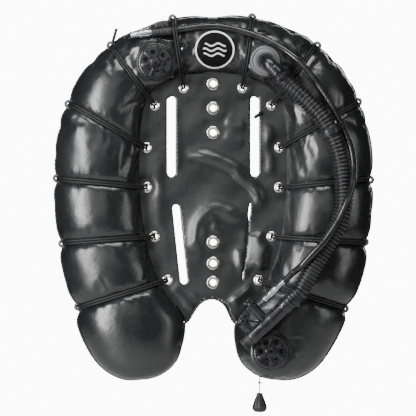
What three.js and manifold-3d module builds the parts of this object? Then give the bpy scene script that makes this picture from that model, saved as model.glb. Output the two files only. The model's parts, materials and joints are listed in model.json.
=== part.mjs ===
// A horseshoe buoyancy wing for technical diving, in millimetres, +Z up as worn, valve face towards -Y.
// Two fabric covers hold one air bladder. A flat centre panel carries the backplate bolts, and
// bungee cords laced through its grommets squeeze the air tube flat.
// The origin is half way between the two bolt grommets that a backplate uses.
import * as THREE from "three";
import { mergeVertices } from "three/addons/utils/BufferGeometryUtils.js";
import Module from "manifold-3d";

const wasm = await Module();
wasm.setup();

// ---------------------------------------------------------------- driving dimensions
const gap = 0.3; // between pieces that touch
const seamGap = 0.3; // between the two covers at their seam
const boltSpacing = 279.4; // 11 inches, the standard backplate spacing
const upperBoltStep = 44; // from the upper plate bolt to its neighbours
const lowerBoltStepUp = 38; // from the lower plate bolt to the one above it
const lowerBoltStepDown = 34.5; // and to the one below it

const panelThickness = 3;
const coverWall = 1.6;
const bladderGap = 1.6; // between cover and bladder
const bladderWall = 1.2;
const fullDepth = 65; // half depth that a very wide tube would reach
const depthWidth = 42; // half width at which the tube nears its full depth
const lobeSway = -8; // how far the free ends of the lobes hang to one side
const swayTop = -150;
const swayBottom = -310;

const pipingRadius = 2;
const slotWidthUpper = 15;
const slotWidthLower = 12.5;

const boltHoleRadius = 5.5;
const boltBarrelWall = 1.5;
const boltFlangeRadius = 11.5;
const laceHoleRadius = 5.1;
const laceBarrelWall = 1.1;
const laceFlangeRadius = 9.3;
const grommetFlange = 1;

const bungeeRadius = 2.25;
const bungeeClearance = fullDepth * 0.0493; // the cord spans the covers' flat facets
const laceSlack = 1.3; // how far inside its hole's centre a lace turns

const valveSeatRadius = 35;
const valveNeckRadius = 22;
const valveBore = 17;
const valveThroat = 12;
const valveCapRadius = 32;
const valveCapHoleCircle = 19;
const valveCapHoleRadius = 5;
const valveNeckDepth = 12;
const portClearance = 1.1; // round a neck that passes through the covers
const stemRadius = 1.5;
const stemClearance = 0.7;

const elbowSeatRadius = 29;
const elbowFlangeRadius = 27.5;
const elbowRadius = 14;
const elbowBore = 9.5;
const elbowBend = 17;
const elbowReach = 20;
const spigotLength = 15;
const spigotRadius = 11.5;

const hoseRadius = 16.5;
const hoseBore = 13;
const clampWall = 1.6;
const clampClearance = 1; // round the hose's flat-sided section
const airHoseRadius = 5.75;
const sleeveRadius = 7.4;
const bandLength = 14;
const bandWall = 1.8;

const stations = 30; // sections along the air tube
const aroundTube = 10; // corners of each section
const grommetSides = 8;

const fabric = { color: 0x3a3c3f, roughness: 0.45, metalness: 0 };
const rubber = { color: 0x1c1d1f, roughness: 0.55, metalness: 0 };
const plastic = { color: 0x242527, roughness: 0.4, metalness: 0 };
const greyPlastic = { color: 0x6d7073, roughness: 0.45, metalness: 0 };
const metal = { color: 0xc9cbcd, roughness: 0.25, metalness: 1 };
const bungeeFinish = { color: 0x17181a, roughness: 0.8, metalness: 0 };
const bladderFinish = { color: 0x50565c, roughness: 0.5, metalness: 0 };
const badgeFinish = { color: 0x101011, roughness: 0.5, metalness: 0 };

// ---------------------------------------------------------------- outline of the wing
// Half outlines, x and z, from the tip of one lobe to the middle of the top.
const outerEdge = [
  [128, -348], [150, -346.5], [170, -339], [190, -325], [203, -310], [213, -295], [227, -269], [238, -242],
  [246, -213], [257, -184], [269, -141], [277, -83], [282.5, -25], [282.5, 40], [280.5, 75], [271.5, 118],
  [255.5, 160], [232, 203], [207.5, 230], [175, 258.5], [147, 273.5], [110, 287.5], [60, 301.5], [0, 306.5],
];
const innerEdge = [
  [128, -348], [106, -346], [86, -339], [68, -326], [56, -310], [50, -290], [46, -268], [47, -245],
  [66, -215], [88, -188], [104, -155], [117, -115], [127, -60], [132, 0], [132, 62], [128, 122],
  [115, 163], [84, 189], [43, 202], [0, 206],
];
const notchEdge = [[43, -246], [36, -232], [30, -220], [22.5, -210], [12, -203], [0, -200.5]];
const panelStart = -246; // height where the panel begins between the lobes

const smooth = (t) => {
  const held = Math.min(1, Math.max(0, t));
  return held * held * (3 - 2 * held);
};
const swayAt = (z) => lobeSway * smooth((swayTop - z) / (swayTop - swayBottom));

const edgeCurve = (points) =>
  new THREE.CatmullRomCurve3(points.map(([x, z]) => new THREE.Vector3(x, 0, z)), false, "centripetal");
const outerCurve = edgeCurve(outerEdge);
const innerCurve = edgeCurve(innerEdge);
for (const curve of [outerCurve, innerCurve]) curve.arcLengthDivisions = 600;

// A point of an edge, moved into the tube by inset. turn is 1 on the outer edge and -1 on the inner one.
function edgePoint(curve, share, inset, turn) {
  const point = curve.getPointAt(share);
  const along = curve.getTangentAt(share);
  const into = new THREE.Vector3(-along.z, 0, along.x).multiplyScalar(turn);
  if (share === 1) into.set(0, 0, -turn);
  if (share === 0) into.set(0, 0, 1);
  return point.addScaledVector(into, inset);
}

// Sections run from the left lobe's tip over the top to the right lobe's tip.
const shareAlong = (step, steps) => {
  const run = 1 - Math.abs((2 * step) / steps - 1);
  return run - 0.09 * Math.sin(Math.PI * run);
};
const halfDepth = (halfWidth) => fullDepth * (1 - Math.exp(-halfWidth / depthWidth));

function section(step, steps, inset) {
  const share = Math.min(1, shareAlong(step, steps));
  const side = step < steps / 2 ? -1 : 1;
  const outer = edgePoint(outerCurve, share, inset, 1);
  const inner = edgePoint(innerCurve, share, inset, -1);
  const halfWidth = innerCurve.getPointAt(share).distanceTo(outerCurve.getPointAt(share)) / 2;
  for (const point of [outer, inner]) point.x = point.x * side + swayAt(point.z);
  const depth = halfDepth(halfWidth) * (1 - inset / 58);
  return { outer, inner, depth };
}

// ---------------------------------------------------------------- turning shapes into solids
// A closed geometry with shared corners, its faces pointing out.
function closed(geometry) {
  const bare = new THREE.BufferGeometry();
  bare.setAttribute("position", geometry.getAttribute("position").clone());
  if (geometry.index) bare.setIndex(geometry.index.clone());
  const merged = mergeVertices(bare, 1e-3);
  const corners = merged.getAttribute("position");
  const index = merged.index.array;
  const kept = [];
  let volume = 0;
  const [a, b, c] = [new THREE.Vector3(), new THREE.Vector3(), new THREE.Vector3()];
  for (let i = 0; i < index.length; i += 3) {
    const [p, q, r] = [index[i], index[i + 1], index[i + 2]];
    if (p === q || q === r || r === p) continue;
    a.fromBufferAttribute(corners, p);
    b.fromBufferAttribute(corners, q);
    c.fromBufferAttribute(corners, r);
    volume += a.dot(b.cross(c));
    kept.push(p, q, r);
  }
  if (volume < 0) kept.reverse();
  merged.setIndex(kept);
  return merged;
}

function solid(geometry) {
  const shape = closed(geometry);
  const vertProperties = new Float32Array(shape.getAttribute("position").array);
  const triVerts = new Uint32Array(shape.index.array);
  return new wasm.Manifold(new wasm.Mesh({ numProp: 3, vertProperties, triVerts }));
}

function geometryOf(made) {
  const mesh = made.getMesh();
  const geometry = new THREE.BufferGeometry();
  geometry.setAttribute("position", new THREE.BufferAttribute(mesh.vertProperties, 3));
  geometry.setIndex(new THREE.BufferAttribute(mesh.triVerts, 1));
  return geometry;
}

// Rings of points, all with the same count, skinned into one closed body. Open ends get a flat fan.
function skin(rings, endless) {
  const count = rings[0].length;
  const positions = rings.flat().flatMap((point) => [point.x, point.y, point.z]);
  const faces = [];
  const spans = endless ? rings.length : rings.length - 1;
  for (let i = 0; i < spans; i++) {
    const here = i * count;
    const next = ((i + 1) % rings.length) * count;
    for (let j = 0; j < count; j++) {
      const k = (j + 1) % count;
      faces.push(here + j, next + j, next + k);
      faces.push(here + j, next + k, here + k);
    }
  }
  if (!endless) {
    const last = (rings.length - 1) * count;
    for (let j = 1; j < count - 1; j++) {
      faces.push(0, j, j + 1);
      faces.push(last, last + j + 1, last + j);
    }
  }
  const geometry = new THREE.BufferGeometry();
  geometry.setAttribute("position", new THREE.Float32BufferAttribute(positions, 3));
  geometry.setIndex(faces);
  return closed(geometry);
}

// A ring or a plug turned about +Y: its profile is radius and height.
function turned(profile, segments, hollow) {
  const points = profile.map(([radius, height]) => new THREE.Vector2(radius, height));
  if (hollow) points.push(points[0].clone());
  return closed(new THREE.LatheGeometry(points, segments));
}

// A round bar or hole along Y.
const rod = (radius, from, to, segments) =>
  turned([[0, from], [radius, from], [radius, to], [0, to]], segments, false);

const at = (geometry, x, y, z) => geometry.clone().translate(x, y, z);
const alongX = (geometry) => geometry.clone().rotateZ(-Math.PI / 2);
const alongZ = (geometry) => geometry.clone().rotateX(Math.PI / 2);

// A flat shape drawn in x and z, given a thickness about y = 0.
function plate(shape, thickness, curveSegments) {
  const geometry = new THREE.ExtrudeGeometry(shape, { depth: thickness, bevelEnabled: false, curveSegments });
  geometry.rotateX(Math.PI / 2);
  geometry.translate(0, thickness / 2, 0);
  return closed(geometry);
}

// A round section, hollow if it has a bore, swept along a curve.
function swept(curve, radius, bore, sides, steps) {
  const round = new THREE.Shape(circlePoints(radius, sides));
  if (bore > 0) round.holes.push(new THREE.Path(circlePoints(bore, sides)));
  const geometry = new THREE.ExtrudeGeometry(round, { steps, bevelEnabled: false, extrudePath: curve });
  return closed(geometry);
}

function circlePoints(radius, sides) {
  const points = [];
  for (let j = 0; j < sides; j++) {
    const turn = (2 * Math.PI * j) / sides;
    points.push(new THREE.Vector2(radius * Math.cos(turn), radius * Math.sin(turn)));
  }
  return points;
}

const curveThrough = (points) =>
  new THREE.CatmullRomCurve3(points.map(([x, y, z]) => new THREE.Vector3(x, y, z)), false, "centripetal");

const wing = new THREE.Group();

function add(parent, name, geometry, finish) {
  const mesh = new THREE.Mesh(geometry, new THREE.MeshStandardMaterial(finish));
  mesh.name = name;
  parent.add(mesh);
  return mesh;
}

// ---------------------------------------------------------------- the air tube
function tubeSkin(inset) {
  const rings = [];
  for (let step = 1; step < stations; step++) {
    const { outer, inner, depth } = section(step, stations, inset);
    const middle = outer.clone().add(inner).multiplyScalar(0.5);
    const reach = outer.clone().sub(middle);
    const ring = [];
    for (let j = 0; j < aroundTube; j++) {
      const turn = (2 * Math.PI * j) / aroundTube;
      const point = middle.clone().addScaledVector(reach, Math.cos(turn));
      point.y = -depth * Math.sin(turn);
      ring.push(point);
    }
    rings.push(ring);
  }
  for (const step of [0, stations]) {
    const tip = section(step, stations, inset).outer;
    const ring = rings[0].map(() => tip.clone());
    if (step === 0) rings.unshift(ring);
    else rings.push(ring);
  }
  return skin(rings, false);
}

// Half the depth of the air tube at a place on it, or 0 off the tube.
const fine = 240;
const fineSections = Array.from({ length: fine + 1 }, (_, step) => section(step, fine, 0));
function tubeHalfDepth(x, z) {
  let best = 0;
  for (let i = 0; i < fine; i++) {
    const [near, far] = [fineSections[i], fineSections[i + 1]];
    const sideOf = ({ outer, inner }) =>
      (inner.x - outer.x) * (z - outer.z) - (inner.z - outer.z) * (x - outer.x);
    const [one, two] = [sideOf(near), sideOf(far)];
    if (one * two > 0 || one === two) continue;
    const mix = one / (one - two);
    const outer = near.outer.clone().lerp(far.outer, mix);
    const inner = near.inner.clone().lerp(far.inner, mix);
    const width = outer.distanceTo(inner);
    const across = ((x - outer.x) * (inner.x - outer.x) + (z - outer.z) * (inner.z - outer.z)) / width ** 2;
    if (!(across > 0 && across < 1)) continue;
    const depth = near.depth + (far.depth - near.depth) * mix;
    best = Math.max(best, depth * Math.sqrt(1 - (2 * across - 1) ** 2));
  }
  return best;
}

// Fittings sit on flat round seats that the covers and the bladder are drawn up to.
function seat(x, z, face, radius, neck) {
  let height = tubeHalfDepth(x, z);
  for (let j = 0; j < 12; j++) {
    const turn = (Math.PI * j) / 6;
    const [rimX, rimZ] = [x + radius * 0.9 * Math.cos(turn), z + radius * 0.9 * Math.sin(turn)];
    height = Math.max(height, tubeHalfDepth(rimX, rimZ));
  }
  return { x, z, face, radius, neck, height: height + 0.8 };
}
const shoulderSeat = seat(-103, 221, -1, valveSeatRadius, valveNeckRadius);
const elbowSeat = seat(94, 224, -1, elbowSeatRadius, 15);
const hipSeat = seat(104, -297, -1, valveSeatRadius, valveNeckRadius);
const rearSeat = seat(112, -288, 1, valveSeatRadius, valveNeckRadius);
const seats = [shoulderSeat, elbowSeat, hipSeat, rearSeat];

function airBody(inset) {
  let body = solid(tubeSkin(inset));
  for (const { x, z, face, radius, height } of seats) {
    const [low, high] = [height * 0.4 * face, (height - inset) * face];
    const post = rod(radius - inset, Math.min(low, high), Math.max(low, high), 16);
    body = body.add(solid(at(post, x, 0, z)));
  }
  return body;
}

function cutPorts(body) {
  let open = body;
  for (const { x, z, face, neck, height } of seats) {
    const [low, high] = [height * 0.3 * face, (height + 5) * face];
    const bore = rod(neck + portClearance, Math.min(low, high), Math.max(low, high), 12);
    open = open.subtract(solid(at(bore, x, 0, z)));
  }
  return open;
}

const halfSpace = (face) => solid(at(new THREE.BoxGeometry(800, 300, 900), 0, face * (150 + seamGap / 2), 0));
const covers = cutPorts(airBody(0).subtract(airBody(coverWall)));
add(wing, "front_cover", geometryOf(covers.intersect(halfSpace(-1))), fabric);
add(wing, "back_cover", geometryOf(covers.intersect(halfSpace(1))), fabric);
const bladderInset = coverWall + bladderGap;
const bladder = cutPorts(airBody(bladderInset).subtract(airBody(bladderInset + bladderWall)));
add(wing, "air_bladder", geometryOf(bladder), bladderFinish);

// ---------------------------------------------------------------- centre panel and its grommets
// Corners of the panel on the right side, from the notch up to the top.
function panelSide() {
  const corners = [];
  for (let step = stations; step > stations / 2; step--) {
    const share = shareAlong(step, stations);
    const point = edgePoint(innerCurve, share, -gap, -1);
    if (point.z > panelStart + 4) corners.push([point.x, point.z]);
  }
  return corners;
}
const panelSideCorners = panelSide();
const panelTop = edgePoint(innerCurve, 1, -gap, -1).z;

function slotPath(fromX, fromZ, toX, toZ, width) {
  const axis = Math.atan2(toZ - fromZ, toX - fromX);
  const path = new THREE.Path();
  const radius = width / 2;
  path.absarc(fromX, fromZ, radius, axis + Math.PI / 2, axis + (3 * Math.PI) / 2, false);
  path.absarc(toX, toZ, radius, axis - Math.PI / 2, axis + Math.PI / 2, false);
  path.closePath();
  return path;
}

function holePath(x, z, radius, sides) {
  return new THREE.Path(circlePoints(radius, sides).map((point) => point.add(new THREE.Vector2(x, z))));
}

const boltHeights = [
  boltSpacing / 2 + upperBoltStep,
  boltSpacing / 2,
  boltSpacing / 2 - upperBoltStep,
  -boltSpacing / 2 + lowerBoltStepUp,
  -boltSpacing / 2,
  -boltSpacing / 2 - lowerBoltStepDown,
];
// Each lace goes from its grommet to the place where it turns round the outer edge.
const laces = [
  { x: 53, z: 176, edgeX: 71.5, edgeZ: 302 },
  { x: 105, z: 145, edgeX: 187, edgeZ: 254 },
  { x: 119.5, z: 68.5, edgeX: 264, edgeZ: 151 },
  { x: 119, z: -3, edgeX: 287, edgeZ: 12.5 },
  { x: 105.5, z: -91.5, edgeX: 277, edgeZ: -103 },
  { x: 82, z: -170, edgeX: 248, edgeZ: -222 },
];

const panelShape = new THREE.Shape();
panelShape.moveTo(0, notchEdge.at(-1)[1]);
for (const [x, z] of notchEdge.slice(0, -1).reverse()) panelShape.lineTo(x + swayAt(z), z);
for (const [x, z] of panelSideCorners) panelShape.lineTo(x + swayAt(z), z);
panelShape.lineTo(0, panelTop);
for (const [x, z] of panelSideCorners.slice().reverse()) panelShape.lineTo(-x + swayAt(z), z);
for (const [x, z] of notchEdge.slice(0, -1)) panelShape.lineTo(-x + swayAt(z), z);
for (const side of [-1, 1]) {
  panelShape.holes.push(slotPath(side * 75, 153.5, side * 75, 23.5, slotWidthUpper));
  panelShape.holes.push(slotPath(side * 66.6, -40, side * 52.6, -171, slotWidthLower));
  for (const { x, z } of laces) {
    panelShape.holes.push(holePath(side * x, z, laceHoleRadius + laceBarrelWall + gap, grommetSides));
  }
}
for (const z of boltHeights) {
  panelShape.holes.push(holePath(0, z, boltHoleRadius + boltBarrelWall + gap, grommetSides));
}
add(wing, "centre_panel", plate(panelShape, panelThickness, 6), fabric);

function grommet(hole, barrelWall, flangeRadius, sides) {
  const [inner, barrel] = [hole, hole + barrelWall];
  const face = panelThickness / 2 + gap;
  const back = face + grommetFlange;
  const profile = [
    [inner, -back], [flangeRadius, -back], [flangeRadius, -face], [barrel, -face],
    [barrel, face], [flangeRadius, face], [flangeRadius, back], [inner, back],
  ];
  return turned(profile, sides, true);
}
boltHeights.forEach((z, i) => {
  const ring = grommet(boltHoleRadius, boltBarrelWall, boltFlangeRadius, grommetSides);
  add(wing, `bolt_grommet_${i + 1}`, ring, metal).position.set(0, 0, z);
});
for (const [side, word] of [[-1, "left"], [1, "right"]]) {
  laces.forEach(({ x, z }, i) => {
    const ring = grommet(laceHoleRadius, laceBarrelWall, laceFlangeRadius, grommetSides);
    add(wing, `lace_grommet_${word}_${i + 1}`, ring, metal).position.set(side * x, 0, z);
  });
}

// ---------------------------------------------------------------- piping round the edge
function pipingPath() {
  const out = -(pipingRadius + gap);
  const path = [];
  for (let step = 0; step <= stations; step++) path.push(section(step, stations, out).outer);
  const right = [];
  for (let step = stations - 1; step > stations / 2; step--) {
    const { inner } = section(step, stations, out);
    if (inner.z > panelStart) break;
    right.push(inner);
  }
  path.push(...right);
  const notch = edgeCurve(notchEdge.slice(0, -1));
  const rounded = notch.getPoints(6);
  const outward = pipingRadius + gap;
  for (const point of rounded) {
    path.push(new THREE.Vector3(point.x - outward * 0.8 + swayAt(point.z), 0, point.z - outward * 0.7));
  }
  path.push(new THREE.Vector3(0, 0, notchEdge.at(-1)[1] - outward));
  for (const point of rounded.reverse()) {
    path.push(new THREE.Vector3(-point.x + outward * 0.8 + swayAt(point.z), 0, point.z - outward * 0.7));
  }
  for (const point of right.reverse()) {
    const sway = swayAt(point.z);
    path.push(new THREE.Vector3(2 * sway - point.x, 0, point.z));
  }
  return path;
}

// A round cord along a closed loop of points. flat is the direction that the loop's plane faces.
function loopCord(points, radius, sides, flat) {
  const rings = points.map((point, i) => {
    const before = points[(i + points.length - 1) % points.length];
    const after = points[(i + 1) % points.length];
    const along = after.clone().sub(before).normalize();
    const across = new THREE.Vector3().crossVectors(along, flat).normalize();
    return circlePoints(radius, sides).map(({ x, y }) =>
      point.clone().addScaledVector(across, x).addScaledVector(flat, y));
  });
  return skin(rings, true);
}
add(wing, "edge_piping", loopCord(pipingPath(), pipingRadius, 5, new THREE.Vector3(0, 1, 0)), fabric);

// ---------------------------------------------------------------- hoses
// The hoses lie over the tube, so their routes move forwards with its depth.
const routeDepth = 65; // the full depth that the routes' points were laid over
const overTube = (route) => route.map(([x, y, z]) => [x, y - (fullDepth - routeDepth), z]);
const hoseRoute = overTube([
  [148, -76.5, 170], [165, -80, 154.5], [188, -82, 131], [201, -82.5, 113.5],
  [211, -82.5, 97], [221, -82, 74], [229, -81, 45], [233, -80, 15], [235, -80, -15], [232, -80.5, -45],
  [224, -81.5, -72], [211, -82.5, -96], [198, -83, -116], [187, -83.5, -134], [174, -84.5, -157],
  [163, -85.3, -176.5],
]);
const airHoseRoute = overTube([
  [-110, -45.5, 274.4], [-91, -45.8, 276.3], [-72, -46, 278.2], [-47, -45, 282.5], [-21, -44, 285.5],
  [11, -44, 286], [36, -45, 281.5], [60, -47, 275], [85, -50, 266.5], [105, -54, 257], [128, -58, 243.5],
  [151, -64.5, 226], [172, -67, 203], [190, -68, 179], [208, -71, 151], [224, -74, 121], [237, -75.5, 93],
  [247, -79.5, 67], [251.5, -88, 36], [249.5, -98, 2], [240, -105, -27], [224, -107, -61], [202, -107.5, -95],
  [181, -106, -119], [158, -99, -143],
]);

const elbowBase = new THREE.Vector3(elbowSeat.x, -(elbowSeat.height + 4.8), elbowSeat.z);
const outwards = new THREE.Vector3(0, -1, 0);
const elbowRun = new THREE.Vector3(0.69, 0, -0.724).normalize();
const bendCentre = elbowBase.clone().addScaledVector(outwards, 1.5).addScaledVector(elbowRun, elbowBend);
const elbowPath = [elbowBase.clone()];
for (let j = 0; j <= 5; j++) {
  const turn = (Math.PI * j) / 10;
  const point = bendCentre.clone();
  point.addScaledVector(elbowRun, -elbowBend * Math.cos(turn));
  elbowPath.push(point.addScaledVector(outwards, elbowBend * Math.sin(turn)));
}
const elbowEnd = elbowPath.at(-1).clone().addScaledVector(elbowRun, elbowReach);
elbowPath.push(elbowEnd);

const hoseStart = elbowEnd.clone().addScaledVector(elbowRun, gap);
const hoseStartPoints = [0, 8, spigotLength].map((reach) =>
  hoseStart.clone().addScaledVector(elbowRun, reach).toArray());
// The inflator hangs on the hose's lower end, its axis running down to the left.
const inflatorAxis = new THREE.Vector3(-0.725, 0, -0.689).normalize();
const hoseEnd = new THREE.Vector3(...overTube([[138.5, -85.5, -206.5]])[0]);
const hoseEndPoints = [24, 16, 8, 0].map((reach) => hoseEnd.clone().addScaledVector(inflatorAxis, -reach).toArray());
const hoseCurve = curveThrough([...hoseStartPoints, ...hoseRoute, ...hoseEndPoints]);
add(wing, "corrugated_hose", swept(hoseCurve, hoseRadius, hoseBore, 8, 24), rubber);

// The air hose ends in a coupler that lies beside the inflator, up to the left of it.
const upLeft = new THREE.Vector3(-0.689, 0, 0.725).normalize();
const inletAxis = 33.5; // height of the air hose's axis over the inflator's axis
const couplerFrom = -15.6; // the coupler's upper end along the inflator's axis
const airHoseEndPoints = [24, 16, 8, 0].map((reach) => hoseEnd.clone()
  .addScaledVector(inflatorAxis, couplerFrom - gap - reach).addScaledVector(upLeft, inletAxis).toArray());
const airHoseCurve = curveThrough([...airHoseRoute, ...airHoseEndPoints]);
add(wing, "air_hose", swept(airHoseCurve, airHoseRadius, 0, 8, 38), rubber);

// Directs a piece made along +Y onto a line in space.
function directed(geometry, from, direction) {
  const turn = new THREE.Quaternion().setFromUnitVectors(new THREE.Vector3(0, 1, 0), direction);
  return geometry.clone().applyQuaternion(turn).translate(from.x, from.y, from.z);
}

// ---------------------------------------------------------------- elbow
const elbowNeck = elbowSeat.neck;
const elbowSeatGroup = new THREE.Group();
elbowSeatGroup.position.set(elbowSeat.x, -elbowSeat.height, elbowSeat.z);
elbowSeatGroup.rotation.x = Math.PI;
wing.add(elbowSeatGroup);
const elbowFlangeProfile = [
  [elbowBore + 1, -10], [elbowNeck, -10], [elbowNeck, gap], [elbowFlangeRadius, gap],
  [elbowFlangeRadius, 2.6], [elbowFlangeRadius - 2, 4.4], [elbowBore + 1, 4.4],
];
add(elbowSeatGroup, "elbow_flange", turned(elbowFlangeProfile, 18, true), greyPlastic);
const elbowTube = swept(curveThrough(elbowPath.map((point) => point.toArray())), elbowRadius, elbowBore, 8, 9);
const elbowSpigot = turned(
  [[elbowBore, -3], [spigotRadius, -3], [spigotRadius, spigotLength], [elbowBore, spigotLength]], 8, true);
const elbowSolid = solid(elbowTube).add(solid(directed(elbowSpigot, elbowEnd, elbowRun)));
add(wing, "elbow", geometryOf(elbowSolid), plastic);

const clampRing = (length) => {
  const inner = hoseRadius + clampClearance;
  return turned([[inner, 0], [inner + clampWall, 0], [inner + clampWall, length], [inner, length]], 12, true);
};
const clampLength = 8;
add(wing, "elbow_clamp", directed(clampRing(clampLength), hoseStart.clone().addScaledVector(elbowRun, 1), elbowRun),
  plastic);
add(wing, "inflator_clamp",
  directed(clampRing(clampLength * 0.6), hoseEnd.clone().addScaledVector(inflatorAxis, -7), inflatorAxis), plastic);

// ---------------------------------------------------------------- band that ties the two hoses
const bandPoints = overTube([[211, -82.5, 97], [230.5, -74.7, 107]]).map((point) => new THREE.Vector3(...point));
const shareAtBand = nearestShare(hoseCurve, bandPoints[0]);
const bandOnHose = hoseCurve.getPointAt(shareAtBand);
const bandRun = hoseCurve.getTangentAt(shareAtBand);
const airHoseAtBand = airHoseCurve.getPointAt(nearestShare(airHoseCurve, bandPoints[1]));
function nearestShare(curve, target) {
  let best = 0;
  for (let i = 0; i <= 400; i++) {
    if (curve.getPointAt(i / 400).distanceTo(target) < curve.getPointAt(best).distanceTo(target)) best = i / 400;
  }
  return best;
}
const bandPlate = (centre, radius, segments) =>
  solid(directed(rod(radius, -bandLength / 2, bandLength / 2, segments), centre, bandRun));
const bandBore = (centre, radius) => solid(directed(rod(radius, -bandLength, bandLength, 10), centre, bandRun));
const hoseHole = hoseRadius + clampClearance + 0.8;
const airHoseHole = airHoseRadius + clampClearance + 0.6;
const band = bandPlate(bandOnHose, hoseHole + bandWall, 12)
  .add(bandPlate(airHoseAtBand, airHoseHole + bandWall, 8))
  .subtract(bandBore(bandOnHose, hoseHole))
  .subtract(bandBore(airHoseAtBand, airHoseHole));
add(wing, "hose_band", geometryOf(band), rubber);

// ---------------------------------------------------------------- bungee laces
// Corners of the tightest band round a set of points in the plane.
function tightBand(points) {
  const sorted = points.slice().sort((p, q) => p.x - q.x || p.y - q.y);
  const turn = (o, p, q) => (p.x - o.x) * (q.y - o.y) - (p.y - o.y) * (q.x - o.x);
  const half = (list) => {
    const chain = [];
    for (const point of list) {
      while (chain.length > 1 && turn(chain.at(-2), chain.at(-1), point) <= 0) chain.pop();
      chain.push(point);
    }
    chain.pop();
    return chain;
  };
  return [...half(sorted), ...half(sorted.reverse())];
}

// Even points along a closed band, starting at its first corner.
function evenly(corners, count) {
  const lengths = corners.map((corner, i) => corner.distanceTo(corners[(i + 1) % corners.length]));
  const total = lengths.reduce((sum, length) => sum + length, 0);
  const points = [];
  for (let k = 0; k < count; k++) {
    let rest = (total * k) / count;
    let i = 0;
    while (rest > lengths[i]) {
      rest -= lengths[i];
      i += 1;
    }
    points.push(corners[i].clone().lerp(corners[(i + 1) % corners.length], rest / lengths[i]));
  }
  return points;
}

function laceLoop(side, lace) {
  const from = new THREE.Vector3(side * lace.x, 0, lace.z);
  const to = new THREE.Vector3(side * lace.edgeX + swayAt(lace.edgeZ), 0, lace.edgeZ);
  const across = to.clone().sub(from).normalize();
  const reach = to.distanceTo(from) + 20;
  const clear = bungeeRadius + bungeeClearance;
  const around = [new THREE.Vector2(-laceSlack, 0)];
  const ringAbout = (distance, depth, radius) => {
    for (const point of circlePoints(radius, 16)) around.push(point.add(new THREE.Vector2(distance, depth)));
  };
  let edge = 0;
  for (let distance = 2; distance < reach; distance += 1.5) {
    const depth = tubeHalfDepth(from.x + across.x * distance, from.z + across.z * distance);
    if (depth === 0) continue;
    edge = distance;
    for (const face of [-1, 1]) ringAbout(distance, face * depth, clear);
  }
  ringAbout(edge + pipingRadius + gap, 0, pipingRadius + gap + clear);
  // The topmost laces also hold the air hose down.
  if (lace.edgeX < 100) {
    for (let i = 0; i < 200; i++) {
      const point = airHoseCurve.getPointAt(i / 200);
      const offset = point.clone().sub(from);
      const aside = offset.x * across.z - offset.z * across.x;
      const holder = side < 0 ? sleeveRadius : airHoseRadius;
      if (Math.abs(aside) < 6) ringAbout(offset.x * across.x + offset.z * across.z, point.y, holder + clear);
    }
  }
  const corners = tightBand(around);
  const points = evenly(corners, 20).map(({ x, y }) => {
    const place = from.clone().addScaledVector(across, x);
    place.y = y;
    return place;
  });
  const flat = new THREE.Vector3().crossVectors(across, new THREE.Vector3(0, 1, 0)).normalize();
  return { cord: loopCord(points, bungeeRadius, 5, flat), points };
}

function lacing(side) {
  const loops = laces.map((lace) => laceLoop(side, lace));
  let cord = solid(loops[0].cord);
  for (const { cord: next } of loops.slice(1)) cord = cord.add(solid(next));
  // Behind the panel the cord runs on from each grommet to the next.
  const rest = panelThickness / 2 + gap + grommetFlange + bungeeRadius + bungeeClearance;
  const behindPanel = loops.map(({ points }) => {
    const first = points[0];
    const behind = [points[1], points.at(-1)].find((point) => point.y > 0);
    return first.clone().lerp(behind, rest / behind.y);
  });
  for (let i = 0; i + 1 < behindPanel.length; i++) {
    const run = behindPanel[i + 1].clone().sub(behindPanel[i]);
    const length = run.length();
    cord = cord.add(solid(directed(rod(bungeeRadius, 0, length, 5), behindPanel[i], run.normalize())));
  }
  return geometryOf(cord);
}
add(wing, "bungee_left", lacing(-1), bungeeFinish);
add(wing, "bungee_right", lacing(1), bungeeFinish);

// ---------------------------------------------------------------- dump valves
function spring(radius, wire, low, high, turns) {
  const points = [];
  const steps = turns * 6;
  for (let j = 0; j <= steps; j++) {
    const turn = (2 * Math.PI * j) / 6;
    const height = low + wire + ((high - low - 2 * wire) * j) / steps;
    points.push([radius * Math.cos(turn), height, radius * Math.sin(turn)]);
  }
  return swept(curveThrough(points), wire, 0, 4, steps);
}

const capTop = 11;
const hubTop = 13;
const capUnder = 8;
const seatLip = 3.3;
const discLow = -2.7;
const discTop = -0.7;
const hubBore = stemRadius + stemClearance;

function valveCap() {
  const skirt = valveCapRadius - 3;
  const profile = [
    [hubBore, capUnder], [skirt, capUnder], [skirt, seatLip + gap], [valveCapRadius, seatLip + gap],
    [valveCapRadius, 8.5], [valveCapRadius - 2.5, capTop], [9, capTop], [8, hubTop], [hubBore, hubTop],
  ];
  let cap = solid(turned(profile, 14, true));
  for (let j = 0; j < 6; j++) {
    const turn = (Math.PI * j) / 3 + 0.35;
    const hole = rod(valveCapHoleRadius, capUnder - 2, capTop + 2, 6);
    const [x, z] = [valveCapHoleCircle * Math.cos(turn), valveCapHoleCircle * Math.sin(turn)];
    cap = cap.subtract(solid(at(hole, x, 0, z)));
  }
  return geometryOf(cap);
}

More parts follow.
